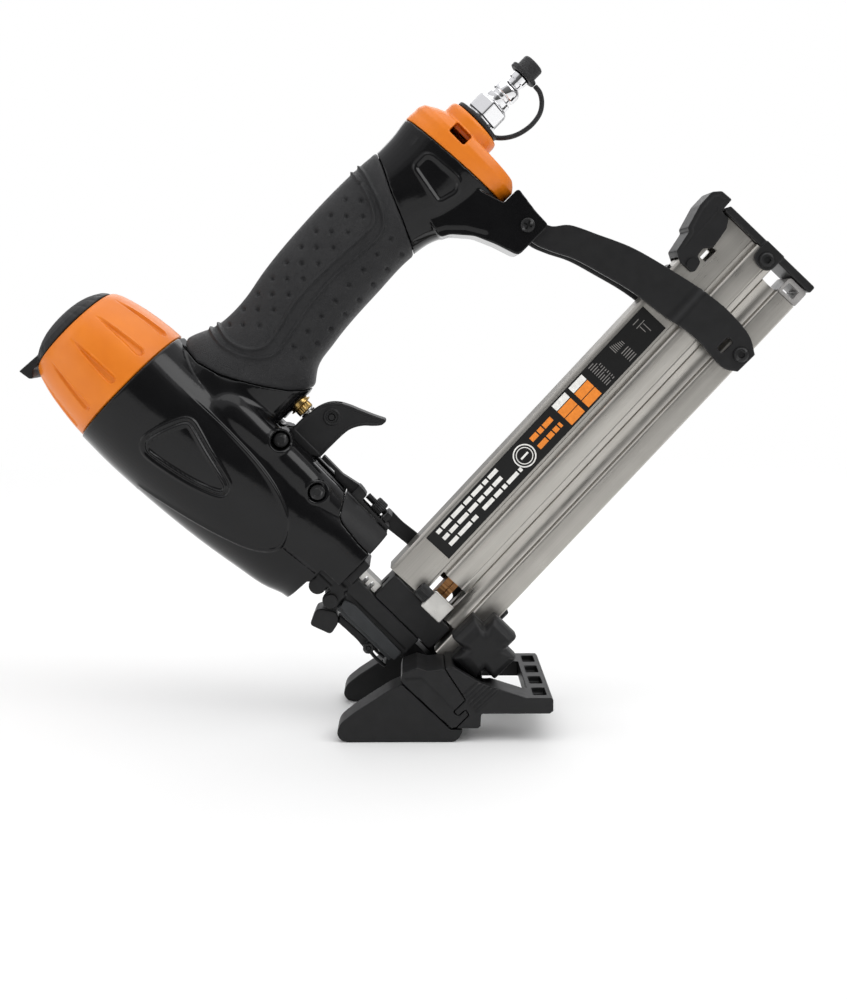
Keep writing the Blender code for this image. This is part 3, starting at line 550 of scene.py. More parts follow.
def combined(base, tool, operation):
    joiner = base.modifiers.new("combine", "BOOLEAN")
    joiner.operation = operation
    joiner.solver = "EXACT"
    joiner.object = tool
    bpy.context.view_layer.update()
    apply_modifiers(base)
    bpy.data.objects.remove(tool, do_unlink=True)
    return base


def cut(base, *tools):
    for tool in tools:
        combined(base, tool, "DIFFERENCE")
    return base


def joined(base, *tools):
    for tool in tools:
        combined(base, tool, "UNION")
    return base


def common(base, tool):
    return combined(base, tool, "INTERSECT")


def fused(made, voxel=0.5, rounds=3, strength=0.5):
    """Rebuilds a solid as one even skin whose edges are softened like a moulding's."""
    skin = made.modifiers.new("skin", "REMESH")
    skin.mode = "VOXEL"
    skin.voxel_size = voxel
    soften = made.modifiers.new("soften", "SMOOTH")
    soften.factor = strength
    soften.iterations = rounds
    bpy.context.view_layer.update()
    return apply_modifiers(made)


def bevelled(made, width=0.5, segments=3, angle=30):
    edge = made.modifiers.new("edge", "BEVEL")
    edge.width = width
    edge.segments = segments
    edge.limit_method = "ANGLE"
    edge.angle_limit = math.radians(angle)
    bpy.context.view_layer.update()
    return apply_modifiers(made)


# ---------------------------------------------------------------- relief on smooth skins

def read_skin(made):
    mesh = made.data
    points = np.empty(len(mesh.vertices) * 3, np.float32)
    mesh.vertices.foreach_get("co", points)
    normals = np.empty(len(mesh.vertices) * 3, np.float32)
    mesh.vertex_normals.foreach_get("vector", normals)
    return points.reshape(-1, 3).astype(float), normals.reshape(-1, 3).astype(float)


def raise_skin(made, amount):
    """Moves every point along its own normal by a number of millimetres."""
    points, normals = read_skin(made)
    points = points + normals * amount[:, None]
    made.data.vertices.foreach_set("co", points.astype(np.float32).ravel())
    made.data.update()
    return made


def distance_to(line, a, b, closed=False):
    """Distance in the side view from each point to a polyline."""
    best = np.full(len(a), 1e9)
    ends = line[1:] + line[:1] if closed else line[1:]
    for (a0, b0), (a1, b1) in zip(line, ends):
        da, db = a1 - a0, b1 - b0
        t = np.clip(((a - a0) * da + (b - b0) * db) / max(1e-9, da * da + db * db), 0, 1)
        best = np.minimum(best, np.hypot(a - a0 - t * da, b - b0 - t * db))
    return best


def inside_of(line, a, b):
    inside = np.zeros(len(a), bool)
    for (a0, b0), (a1, b1) in zip(line, line[1:] + line[:1]):
        if b0 == b1:
            continue
        crosses = (b0 > b) != (b1 > b)
        inside ^= crosses & (a < (a1 - a0) * (b - b0) / (b1 - b0) + a0)
    return inside


def depth_inside(line, a, b):
    """Signed distance, positive inside a closed outline."""
    return np.where(inside_of(line, a, b), 1, -1) * distance_to(line, a, b, closed=True)


def smoothstep(low, high, value):
    t = np.clip((value - low) / (high - low), 0, 1)
    return t * t * (3 - 2 * t)


def reach_from(centre, a, b):
    """Distance in the side view from each point to a centre."""
    return np.hypot(a - centre[0], b - centre[1])


def side_facing(normals, y, threshold=0.6):
    """Weight of the skin that faces out to the left or the right."""
    return np.clip(normals[:, 1] * np.sign(y) * 2.5 - threshold, 0, 1)


def ridge(distance, width):
    return np.exp(-(distance / width) ** 2)


def place(made, name, matrix, look, body, replaces=(), slot=None, sharp=35):
    """Turns a finished millimetre solid into a piece that rides on a body."""
    made.name = name
    made.data.name = name
    made.data.transform(matrix @ Matrix.Scale(MM, 4))
    made.data.materials.clear()
    made.data.materials.append(look)
    made.data.shade_smooth()
    if sharp:
        made.data.set_sharp_from_angle(angle=math.radians(sharp))
    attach(made, body)
    if replaces:
        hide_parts(*replaces)
    return made


# ---------------------------------------------------------------- housing, handle and caps

CAP_BOTTOM = 192.2
CAP_TOP = 227.2
BORE_R = 24.0
BORE_BOTTOM = 104.5
GRIP_WALL = 2.6
VALVE_A = 70.0

# front a, rear a, half width of the cylinder body at each height b
BODY_SECTIONS = [
    (64.8, 0.5, 58.5, 21.0),
    (77.0, 3.5, 58.5, 22.5),
    (88.0, 0.0, 58.5, 24.5),
    (103.0, -2.5, 58.8, 26.5),
    (120.0, -5.0, 58.8, 28.0),
    (140.0, -7.0, 57.5, 29.5),
    (160.0, -8.2, 55.5, 30.5),
    (175.0, -8.7, 54.5, 31.2),
    (191.9, -8.3, 54.5, 31.4),
]

# bottom b, top b, half width of the handle at each a
HANDLE_SECTIONS = [
    (42.0, 133.8, 189.5, 21.5),
    (56.0, 133.6, 189.0, 20.5),
    (70.0, 134.0, 183.6, 18.5),
    (80.0, 134.8, 182.8, 17.8),
    (87.0, 139.6, 183.2, 17.3),
    (100.0, 142.2, 185.4, 17.0),
    (130.0, 144.3, 187.8, 17.0),
    (153.0, 144.4, 188.0, 17.3),
    (163.0, 142.3, 187.6, 17.6),
    (172.0, 137.5, 186.8, 18.0),
    (182.0, 134.0, 186.8, 18.0),
    (196.0, 132.7, 187.8, 18.0),
    (203.0, 132.5, 185.5, 17.2),
    (206.2, 136.0, 179.0, 15.5),
]

GRIP_REGION = [
    (80, 126), (80, 134.5), (77, 136), (72, 141), (66, 150), (60, 160), (56, 168), (53, 178), (53.2, 187),
    (54.5, 197), (176, 197), (173, 187), (170, 180), (165, 170), (160, 158), (155, 147), (153, 144),
    (150, 126),
]

REAR_LEG = [
    (166, 141), (170, 139), (177, 131), (181, 122), (184, 113), (185.3, 111.5), (203, 111.5),
    (203.3, 120), (204.8, 132), (196, 132.4), (190, 150), (168, 150),
]

REAR_SEAM = [(191, 200), (193, 175), (195, 150), (196, 132.2), (230, 132.2), (230, 200)]
GUARD_REGION = [(62, 94.8), (49.0, 86.8), (47.4, 83.4), (45.9, 72), (45.6, 60), (62, 60)]

BARREL_LINE = curve_through(
    [(-4.0, 158), (-1.6, 148), (2.2, 132.3), (6.6, 117.4), (11.3, 105.4), (16.8, 97.9), (22.6, 95.6),
     (29.3, 98.6), (35.0, 105), (39.0, 115), (41.4, 128), (42.4, 145), (42.2, 165), (42, 200)], 6)
BARREL_LINE += [(-20, 200), (-20, 158)]
BADGE_LINE = curve_through(
    [(10.0, 162), (10.6, 167.6), (14.4, 170.6), (20.5, 169.8), (27.5, 167.4), (33.4, 164.4), (35.2, 161),
     (34.4, 156.5), (31.6, 147), (28.4, 134.5), (26.4, 129.6), (22.8, 127.9), (19.4, 129.4),
     (16.6, 134.6), (13.0, 146)], 6, closed=True)
PLATE_LINE = rounded([(175.5, 151.5), (185.1, 148.8), (189.5, 152.7), (188.1, 168.1), (186.2, 170.4),
                      (178.8, 170.4)], 2.6)


def body_shape():
    rings = []
    for b, front, rear, half in smooth_rows(BODY_SECTIONS, 3.0):
        middle = (front + rear) / 2
        rings.append([(middle + a, y, b) for a, y in squircle((rear - front) / 2, half, 2.25, 96)])
    return loft(rings)


def handle_shape(shrink=0.0):
    rings = []
    for a, low, high, half in smooth_rows(HANDLE_SECTIONS, 2.5):
        middle = (low + high) / 2
        section = squircle((high - low) / 2 - shrink, half - shrink, 2.4, 64)
        rings.append([(a, y, middle + b) for b, y in section])
    return loft(rings)


COLUMN_A = 47.8
COLUMN_SECTIONS = [
    (84.0, 8.6, 10.4),
    (104.0, 10.2, 13.4),
    (125.0, 10.4, 14.8),
    (148.0, 10.2, 15.8),
    (155.0, 9.2, 16.0),
    (160.5, 6.4, 15.8),
    (163.5, 2.4, 15.4),
]


def valve_column(side):
    """Rounded rib over the safety rod, with a domed top."""
    rings = []
    for b, radius, y in smooth_rows(COLUMN_SECTIONS, 1.0):
        turns = [2 * math.pi * k / 48 for k in range(48)]
        rings.append([(COLUMN_A + radius * math.cos(t), side * y + radius * math.sin(t), b) for t in turns])
    return loft(rings)


def relaxed(made, weight_at, rounds):
    """Evens out a skin where weight_at(a, y, b) is above zero."""
    points, _ = read_skin(made)
    edges = np.empty(len(made.data.edges) * 2, np.int32)
    made.data.edges.foreach_get("vertices", edges)
    first, second = edges.reshape(-1, 2).T
    count = len(points)
    share = np.bincount(first, minlength=count) + np.bincount(second, minlength=count)
    weight = 0.6 * weight_at(*points.T)[:, None]
    for _ in range(rounds):
        sums = [np.bincount(first, points[second, k], count) + np.bincount(second, points[first, k], count)
                for k in range(3)]
        points = points + weight * (np.column_stack(sums) / share[:, None] - points)
    made.data.vertices.foreach_set("co", points.astype(np.float32).ravel())
    made.data.update()
    return made


def shoulder(a, y, b):
    """Weight of the broad blend between the barrel, the valve column and the handle root."""
    clear = smoothstep(5.2, 7.0, np.minimum(reach_from(TRIGGER_PIVOT, a, b), reach_from(GUIDE_PIN, a, b)))
    weight = clear * smoothstep(11.5, 13, np.abs(y)) * smoothstep(97, 101, b) * smoothstep(170, 165, b)
    return weight * smoothstep(30, 36, a) * smoothstep(60.5, 58.5, a)


def housing_relief(made):
    points, normals = read_skin(made)
    a, y, b = points.T
    outward = side_facing(normals, y, 0.4)
    amount = np.zeros(len(a))
    belly = depth_inside(BARREL_LINE, a, b)
    fade = smoothstep(176, 150, b) * (b > 90)
    swell = 0.6 * smoothstep(-0.7, 0.5, belly) * np.exp(-np.maximum(belly, 0) / 9.0)
    amount += fade * (swell + 0.4 * ridge(belly - 0.6, 0.8))
    badge = depth_inside(BADGE_LINE, a, b)
    amount += 0.5 * ridge(badge, 0.6) - 0.45 * ridge(badge - 1.3, 0.5) + 0.5 * ridge(badge - 2.6, 0.55)
    amount -= 0.65 * smoothstep(2.8, 3.7, badge)
    groove = distance_to([(22.8, 95), (23.2, 86), (23.8, 77)], a, b)
    amount -= 0.6 * ridge(groove, 0.6) * (b < 95)
    plate = depth_inside(PLATE_LINE, a, b)
    amount += 0.5 * ridge(plate, 0.75) - 0.5 * smoothstep(0.9, 1.8, plate)
    rim = distance_to([(157, 147.6), (163, 145.5), (170, 141.5), (176, 135.4), (180.5, 128)], a, b)
    amount -= 0.35 * ridge(rim, 1.0)
    for pin in (TRIGGER_PIVOT, GUIDE_PIN):
        reach = reach_from(pin, a, b)
        amount += 0.35 * ridge(reach - 4.9, 0.6)
    return raise_skin(made, amount * outward)


def main_housing():
    housing = joined(body_shape(), handle_shape(), valve_column(-1), valve_column(1))
    joined(housing, rod(TRIGGER_PIVOT, 5.0, -PIVOT_HEAD + 0.4, PIVOT_HEAD - 0.4))
    cut(housing, cut(prism(GRIP_REGION, -40, 40), handle_shape(GRIP_WALL)))
    joined(housing, prism(rounded(REAR_LEG, 1.5), -16, 16))
    cut(
        housing,
        prism(inset(REAR_SEAM, -0.15), -30, 30),
        box(-20, 18.7, -40, 40, 60, 76.3),
        box(18, 27, -40, 40, 60, 75.2),
        prism(GUARD_REGION, -40, 40),
        rod((AXIS, 0), BORE_R, BORE_BOTTOM, 200, "b", 96),
        box(20.8, 25.2, -6.5, 6.5, 60, BORE_BOTTOM + 3),
        rod(PLUG_BORE, PLUG_BORE_R, 60, 200, "a", 48),
        box(48.8, 61, -6.6, 6.6, 60, 137),
        rod((VALVE_A, 0), 5.6, 126, 152, "b"),
        box(191.5, 204, -13.2, -9.8, 108, 128),
        box(191.5, 204, 9.8, 13.2, 108, 128),
        rod(STRAP_SCREW, 2.3, -20, 20),
    )
    for pin, reach in ((TRIGGER_PIVOT, PIVOT_HEAD), (GUIDE_PIN, GUIDE_HEAD)):
        seat = reach - HEAD_HEIGHT - 0.3
        cut(housing, rod(pin, 2.5, -40, 40), rod(pin, 4.1, -40, -seat), rod(pin, 4.1, seat, 40))
    return housing_relief(relaxed(fused(housing, 0.5, 3), shoulder, 70))


def lower_guard():
    guard = common(body_shape(), prism(inset(GUARD_REGION, 0.3), -40, 40))
    cut(guard, box(56.4, 70, -7.5, 7.5, 50, 100))
    return fused(guard, 0.4, 2)


GRIP_OUTER = curve_through(
    [(66.0, 198.2), (66.2, 185.5), (65.7, 177.7), (66.5, 171.9), (69.4, 165.3), (73.6, 159.9),
     (78.4, 156.9), (83.3, 156.5), (92.6, 158.1), (103.3, 160.2), (115.5, 161.5), (125.2, 161.6),
     (137.9, 160.6), (146.2, 160.0), (151.6, 161.4), (155.5, 165.5), (158.4, 171.3), (160.5, 177.5),
     (162.3, 184.1), (163.8, 198.2)], 6)
GRIP_INNER = curve_through(
    [(70.3, 198.2), (70.0, 182.6), (69.3, 175.3), (71.0, 169.0), (74.0, 164.7), (78.6, 161.9),
     (83.3, 161.7), (91.4, 163.6), (99.9, 165.5), (110.6, 166.5), (122.3, 166.4), (134.7, 165.7),
     (145.3, 165.1), (149.1, 165.3), (151.8, 167.0), (154.8, 171.8), (157.1, 177.8), (158.4, 183.8),
     (159.4, 198.2)], 6)


def grip_dimples():
    """Centres of the shallow pits, in rows that follow the handle."""
    rows = [
        (78.6, 9.31, 175.2, 176.2, 9), (83.6, 9.31, 170.0, 170.8, 8), (74.0, 9.32, 179.6, 181.6, 10),
        (87.7, 8.97, 152.8, 155.5, 8), (86.4, 8.97, 146.7, 148.1, 8),
    ]
    return [(a0 + k * step, b0 + (b1 - b0) * k / (count - 1)) for a0, step, b0, b1, count in rows
            for k in range(count)]


def handle_grip():
    grip = common(handle_shape(), prism(inset(GRIP_REGION, 0.3), -40, 40))
    cut(grip, handle_shape(GRIP_WALL - 0.3), rod((AXIS, 0), 33.0, 120, 200, "b", 96))
    fused(grip, 0.5, 3)
    points, normals = read_skin(grip)
    a, y, b = points.T
    middle = np.interp(a, [r[0] for r in HANDLE_SECTIONS], [(r[1] + r[2]) / 2 for r in HANDLE_SECTIONS])
    outward = np.clip((normals[:, 1] * y + normals[:, 2] * (b - middle)) / 6.0 - 0.2, 0, 1)
    border = -depth_inside(GRIP_REGION, a, b)
    amount = 0.45 * smoothstep(0.2, 1.6, -border)
    amount += sum(1.15 * ridge(distance_to(line, a, b), 0.62) for line in (GRIP_OUTER, GRIP_INNER))
    amount -= 0.30 * smoothstep(0, -2.6, np.minimum(0, distance_to(GRIP_OUTER, a, b) - 2.8)) * 0.5
    on_side = np.clip(np.abs(normals[:, 1]) * 3 - 0.6, 0, 1)
    for dimple in grip_dimples():
        amount -= 1.2 * ridge(reach_from(dimple, a, b), 0.85) * on_side
    return raise_skin(grip, amount * outward)


def clamped(value, low=0.0, high=1.0):
    return min(high, max(low, value))


def cap_flutes(radius, height, angle):
    """Eleven flutes, narrow at the dome and wide with a round end at the bottom, each with a raised lip."""
    step = 2 * math.pi / 11
    phase = (angle + math.radians(89.0) + step / 2) % step - step / 2
    across = phase * radius
    run = clamped((223.0 - height) / 25.5)
    half = 0.35 + 1.35 * run
    end = 1.0 - clamped((198.2 - height) / 1.9) ** 2
    if run == 0 or end <= 0:
        return radius
    half *= math.sqrt(end)
    groove = 1.25 * clamped(run * 3) / (1 + math.exp((abs(across) - half) / 0.16))
    lip = 0.30 * math.exp(-(((across - half - 0.5) / 0.45) ** 2)) * clamped(run * 2) * end
    return radius - groove + lip


def top_cap():
    outline = [
        (30.4, CAP_BOTTOM), (31.0, CAP_BOTTOM + 0.5), (30.75, 197), (30.2, 202), (29.4, 207.5),
        (28.5, 212.5), (27.5, 216.8), (26.4, 220.5), (25.5, 223.2), (24.6, 225), (23.6, 226.5),
        (22.4, CAP_TOP),
    ]
    levels = [outline[0]] + [tuple(p) for p in curve_through(outline[1:], 9)]
    inner = [(6.0, CAP_TOP), (6.0, 223.6), (20.0, 223.2), (25.6, 213), (27.4, CAP_BOTTOM)]

    def shape(radius, height, angle):
        return radius if (radius, height) in inner else cap_flutes(radius, height, angle)

    return turned(levels + inner, (AXIS, 0), "b", 640, ring=True, shape=shape)


def dome_creases(radius, height, angle):
    """Faint radial creases over the dome."""
    step = 2 * math.pi / 24
    phase = (angle % step) - step / 2
    if radius < 7 or height < CAP_TOP + 1:
        return radius
    return radius - 0.35 * math.exp(-((phase / 0.035) ** 2))


def exhaust_deflector():
    """Creased dome with a forward spout and a sunk seat for its screw."""
    dome = turned([
        (4.0, CAP_TOP + 0.3), (22.0, CAP_TOP + 0.3), (22.2, 228.0), (21.6, 228.9), (20.1, 230.5),
        (17.8, 231.9), (15.2, 233.2), (12.3, 234.2), (9.5, 234.8), (7.2, 235.15), (6.5, 235.15),
        (6.2, 234.8), (6.2, 233.2), (4.0, 233.2),
    ], (AXIS, 0), "b", 240, ring=True, shape=dome_creases)
    spout = rounded([(-6.4, 231.4), (-5.6, 226.0), (-4.6, 225.0), (-3.6, 225.4), (-1.4, 227.5),
                     (6, 227.6), (6, 230.4)], 0.5)
    return fused(joined(dome, prism(spout, -9, 9)), 0.35, 2)


def hexagon(radius, _, angle):
    return radius / math.cos((angle % (math.pi / 3)) - math.pi / 6)


def rear_cap():
    cap = handle_shape()
    joined(cap, turned([(13.4, 198), (13.2, 210.6), (12.9, 211.6), (12.2, 212.4),
                        (11, 212.5)], PLUG_AXIS, "a", 72))
    common(cap, prism(inset(REAR_SEAM, 0.15), -30, 30))
    cut(
        cap,
        rod(PLUG_BORE, PLUG_BORE_R, 180, 204, "a"),
        rod(PLUG_AXIS, 4.6, 200, 220, "a"),
        box(200.5, 206.0, -25, -8, 161.5, 170.5),
    )
    return fused(cap, 0.42, 3)


def air_plug():
    profile = [
        (4.2, 204.5), (4.2, 215.0), (6.4, 215.0), (6.6, 215.3), (6.6, 224.2), (6.3, 224.6), (5.6, 225),
        (5.7, 225.3), (5.7, 227.3), (5.4, 227.7), (4.6, 228), (4.6, 229.2), (5.3, 229.5), (5.6, 229.9),
        (5.6, 233.2), (5.2, 233.9), (4.1, 235), (3.3, 235.6), (3.3, 237.4), (4.0, 238.0), (4.0, 240.4),
        (3.7, 240.8),
    ]
    plug = turned(profile, PLUG_AXIS, "a", 72)
    joined(plug, turned([(6.9, 216), (7.5, 216.6), (7.5, 223.2),
                         (6.9, 223.8)], PLUG_AXIS, "a", 72, shape=hexagon))
    return cut(plug, rod(PLUG_AXIS, 2.2, 200, 245, "a"))


def dust_cap():
    cap = turned([
        (6.3, 241.1), (6.7, 241.4), (6.7, 243.0), (6.4, 243.3), (5.3, 243.4), (5.1, 243.7), (5.1, 247.9),
        (4.8, 248.6), (4.3, 248.9), (3.0, 249.0),
    ], PLUG_AXIS, "a", 64)
    return cut(cap, rod(PLUG_AXIS, 4.3, 240, 245, "a"))


def dust_cap_strap():
    ring = turned([
        (4.6, 213.0), (4.8, 212.8), (10.8, 212.8), (11.1, 213.2), (11.1, 214.3), (10.8, 214.7),
        (4.8, 214.7), (4.6, 214.5),
    ], PLUG_AXIS, "a", 64, ring=True)
    path = curve_through([
        (213.7, 0, 157), (215.0, 0, 154.2), (218.5, 0, 151), (223, 0, 148.7), (229, 0, 147.5),
        (235, 0, 148.2), (239.2, 0, 150.8), (241.8, 0, 154.6), (242.3, 0, 158.4),
    ], 8)
    return fused(joined(ring, pipe(path, 1.1, 16, 1.5)), 0.3, 2)


# ---------------------------------------------------------------- trigger and safety

TRIGGER_LINE = curve_through(
    [(61, 128.4), (65, 128.5), (70, 128.0), (75.5, 127.0), (80, 124.9), (83.2, 121.8), (85.6, 117.6),
     (87.6, 112.8), (90.2, 106.8), (92.6, 101.9)], 5) + curve_through(
    [(92.3, 100.9), (89.6, 101.3), (86.8, 103.6), (83.6, 106.9), (79.5, 109.4), (75, 110.4), (66, 110.6)], 5)
TRIGGER_TAIL = [(60, 110.5), (54.4, 119), (51.0, 124.5), (51.0, 130.3), (54.4, 132), (58.2, 131.3)]


def trigger():
    made = prism(TRIGGER_LINE + TRIGGER_TAIL, -6.2, 6.2)
    cut(
        made,
        box(58.2, 84, -4.2, 4.2, 113, 140),
        box(57.6, 66, -4.2, 4.2, 100, 120),
        rod(TRIGGER_PIVOT, 2.5, -10, 10),
        rod(ROCKER_PIN, 1.6, -10, 10),
    )
    fused(made, 0.3, 3)
    points, normals = read_skin(made)
    a, y, b = points.T
    outward = side_facing(normals, y) * (np.abs(y) > 5)
    depth = depth_inside(TRIGGER_LINE + TRIGGER_TAIL, a, b)
    boss = reach_from(ROCKER_PIN, a, b)
    amount = -0.5 * smoothstep(0.9, 1.4, depth) * smoothstep(3.4, 4.0, boss) * (a > 61)
    amount -= 0.45 * ridge(boss - 2.3, 0.4) - 0.25 * ridge(boss - 3.3, 0.35)
    return raise_skin(made, amount * outward)


def headed_pin(centre, reach):
    """Plain pin with a domed head on each side."""
    seat = reach - 2.0
    half = [(2.2, seat - 0.1), (3.2, seat), (3.3, seat + 0.1), (3.3, reach - 0.5), (3.1, reach - 0.15),
            (2.7, reach)]
    pin = turned([(r, -y) for r, y in reversed(half)] + half, centre, "y", 56)
    for side in (-1, 1):
        cut(pin, rod(centre, 1.6, *span(side, reach - 0.35, reach + 2)))
    return pin


def upper_safety_arm():
    outline = [
        (59.7, 109.8), (61.6, 109.8), (61.4, 98), (63.4, 88.6), (63.2, 86.2), (62.6, 83.6), (59.4, 83.6),
        (59.3, 81), (59.3, 66), (57.6, 66), (57.6, 84), (57.9, 88), (57.9, 99), (59.7, 101.5),
    ]
    made = prism(rounded(outline, 0.6), -5.5, 5.5)
    cut(made, box(55, 65, -10, -3.0, 89, 120), box(55, 65, 3.0, 10, 89, 120),
        box(55, 59.6, -4.4, 4.4, 71.2, 83.4))
    return bevelled(made, 0.25)


def depth_wheel():
    """Thumb wheel with fine knurling, on a threaded stud."""
    def knurl(radius, _, angle):
        return radius - 0.3 * (0.5 + 0.5 * math.cos(22 * angle)) ** 2

    wheel = turned([(3.0, 73.1), (3.4, 73.5), (3.4, 78.0), (3.0, 78.4)], (WHEEL_A, 0), "b", 208, shape=knurl)
    thread = [(1.6 - 0.25 * (k % 2), 71.4 + 0.4 * k) for k in range(30)]
    return joined(wheel, turned(thread, (WHEEL_A, 0), "b", 40))


def lower_safety_arm():
    side = prism(rounded([
        (55.6, 71), (63.6, 71), (63.6, 68.6), (63.4, 62), (64.4, 54), (66, 26), (64, 15), (60, 12),
        (36, 11), (35, 13), (36, 19), (55, 20), (58, 26), (57.5, 54),
    ], 1.6), 12.4, 14.6)
    return bevelled(joined(side, box(59.7, 63.6, -4.5, 13.5, 68.7, 71)), 0.3)


# ---------------------------------------------------------------- screws

def hexagon_socket(centre, flats, y0, y1):
    return turned([(flats / 2, y0), (flats / 2, y1)], centre, "y", 48, shape=hexagon)


def button_screw(centre, side, shank, seat, top, radius=3.4):
    """Domed head with a hexagon socket."""
    rise = top - seat
    profile = [(shank, side * 7), (shank, side * (seat - 0.1)), (radius - 0.2, side * seat),
               (radius, side * (seat + 0.2)), (radius, side * (seat + 0.35 * rise)),
               (radius * 0.93, side * (seat + 0.7 * rise)), (radius * 0.8, side * (seat + 0.93 * rise)),
               (radius * 0.68, side * top)]
    screw = turned(profile, centre, "y", 56)
    return cut(screw, hexagon_socket(centre, 2.9, *span(side, top - 1.2, top + 1)))


def bracket_upper_screw():
    profile = [(2.4, -18.2), (3.0, -17.8), (3.2, -17.2), (3.2, -16.3), (1.9, -16.2), (1.9, 16.2),
               (3.0, 16.3), (3.0, 17.9), (2.7, 18.2)]
    screw = turned(profile, STRAP_SCREW, "y", 56)
    a, b = STRAP_SCREW
    for turn in (0.35, 0.35 + math.pi / 2):
        c, s = math.cos(turn), math.sin(turn)
        slot = [(a + 1.9 * c - 0.4 * s, b + 1.9 * s + 0.4 * c),
                (a - 1.9 * c - 0.4 * s, b - 1.9 * s + 0.4 * c),
                (a - 1.9 * c + 0.4 * s, b - 1.9 * s - 0.4 * c),
                (a + 1.9 * c + 0.4 * s, b + 1.9 * s - 0.4 * c)]
        cut(screw, prism(slot, -20, -17.0))
    return screw


def clamp_screw():
    """Knurled socket-head screw that holds the small clamp."""
    def knurl(radius, height, angle):
        return radius - (0.22 * (0.5 + 0.5 * math.cos(28 * angle)) if radius > 3.3 else 0)

    head = turned([(3.2, 32.7), (3.4, 32.9), (3.4, 37.9), (3.1, 38.5),
                   (2.9, 38.7)], CLAMP_SCREW, "b", 224, shape=knurl)
    recess = turned([(1.45, 35.5), (1.45, 40)], CLAMP_SCREW, "b", 48, shape=hexagon)
    return cut(head, recess)


def deflector_screw():
    screw = turned([
        (3.4, 214), (3.4, 233.4), (5.3, 233.5), (5.5, 233.7), (5.5, 234.2), (5.2, 234.6), (4.4, 234.85),
        (3.0, 234.95),
    ], (AXIS, 0), "b", 56)
    return cut(screw, turned([(2.0, 233.9), (2.0, 240)], (AXIS, 0), "b", 48, shape=hexagon))


# ---------------------------------------------------------------- nose latch

def latch_lever():
    arm = prism(rounded([
        (12.2, 31.7), (14.8, 31.7), (15.9, 34), (15.2, 40), (14.6, 53), (13.0, 55), (11.4, 53),
        (11.8, 40), (11.1, 34),
    ], 0.8), -3.0, 3.0)
    pad = prism(rounded([(2.6, 60.6), (9.2, 63.4), (11.4, 62.4), (15.6, 55.8), (12.6, 52.0),
                         (6.2, 50.6)], 1.8), -8.5, 8.5)
    lever = cut(joined(arm, pad), rod(LATCH_PIVOT, 1.3, -9, 9))
    return fused(lever, 0.32, 4)


def latch_wire():
    a, b = LATCH_PIVOT
    loop = pipe(curve_through([
        (a - 0.5, -7.2, b - 2), (a - 0.9, -7.2, b - 6), (a - 0.7, -7.1, b - 9.5), (a - 0.7, -5.6, b - 11),
        (a - 0.7, 0, b - 11.05), (a - 0.7, 5.6, b - 11), (a - 0.7, 7.1, b - 9.5), (a - 0.9, 7.2, b - 6),
        (a - 0.5, 7.2, b - 2),
    ], 6), 0.85, 14)
    for side in (-1, 1):
        joined(loop, turned([
            (1.3, side * 6.0), (2.3, side * 6.0), (2.5, side * 6.2), (2.5, side * 7.8), (2.3, side * 8.0),
            (1.3, side * 8.0),
        ], LATCH_PIVOT, "y", 48, ring=True))
    return loop


def nose_door():
    """Hinged cover over the drive channel, with cheeks that wrap the nose."""
    made = joined(
        box(16.8, 19.6, -11.4, 11.4, 24, 57.5),
        box(19.0, 21.2, -8.6, 8.6, 24, 57.5),
        box(16.8, 21.2, -8.7, 8.7, 56, 61),
        rod(DOOR_HINGE, 3.2, -8.7, 8.7),
    )
    for side in (-1, 1):
        outline = rounded([(18.8, 22.6), (23.4, 22.6), (23.9, 34), (24.3, 52.8), (22.6, 58.0),
                           (19.6, 57.2), (18.8, 52)], 0.8)
        cheek = prism(outline, *span(side, 11.3, 13.5))
        across = span(side, 3.4, 5.6)
        ear = joined(rod(LATCH_PIVOT, 2.6, *across), box(13.5, 17.5, *across, 31.6, 36.4))
        joined(made, cheek, ear)
    cut(made, rod(DOOR_HINGE, 1.9, -20, 20), rod(LATCH_PIVOT, 1.3, -9, 9), box(10, 18.5, -3.4, 3.4, 31, 37.5))
    return fused(made, 0.35, 3)


# ---------------------------------------------------------------- magazine fittings

def magazine_latch():
    outline = rounded([
        (196.2, 45.4), (197.4, 48.4), (201.4, 48.8), (204.3, 45.8), (208, 46.2), (214.4, 47.2),
        (218.4, 49.8), (218.4, 54), (225, 54.2), (224.6, 60), (221.5, 62.9), (214, 62.9), (203.1, 60),
        (202.4, 58.4), (192.6, 56.6), (190.2, 52), (190.2, 45.6), (192, 44.4),
    ], 0.6)
    made = prism(outline, -11.2, 11.2)
    cut(made, box(180, 230, -9.4, 9.4, 40, 53.9), rod(MAG_LATCH_PIVOT, 1.8, -20, 20))
    fused(made, 0.38, 3)
    points, normals = read_skin(made)
    a, y, b = points.T
    outward = side_facing(normals, y) * (np.abs(y) > 10.5)
    depth = depth_inside(outline, a, b)
    return raise_skin(made, -0.4 * smoothstep(1.6, 2.2, depth) * (b > 55) * outward)


def end_plate():
    made = prism(rounded([(219, 1), (222.5, 1), (222.5, 53), (219, 53)], 0.9), -12, 12)
    for side in (-1, 1):
        outline = rounded([(212, 20.5, 5), (222.5, 20.5), (222.5, 31), (212, 31, 5)], 0.8)
        ear = prism(outline, *span(side, 11.8, 13.8))
        joined(made, ear, box(219, 222.5, *span(side, 10, 13.8), 20.5, 31))
    cut(made, rod(END_SCREW, 2.0, -30, 30))
    return fused(made, 0.38, 3)


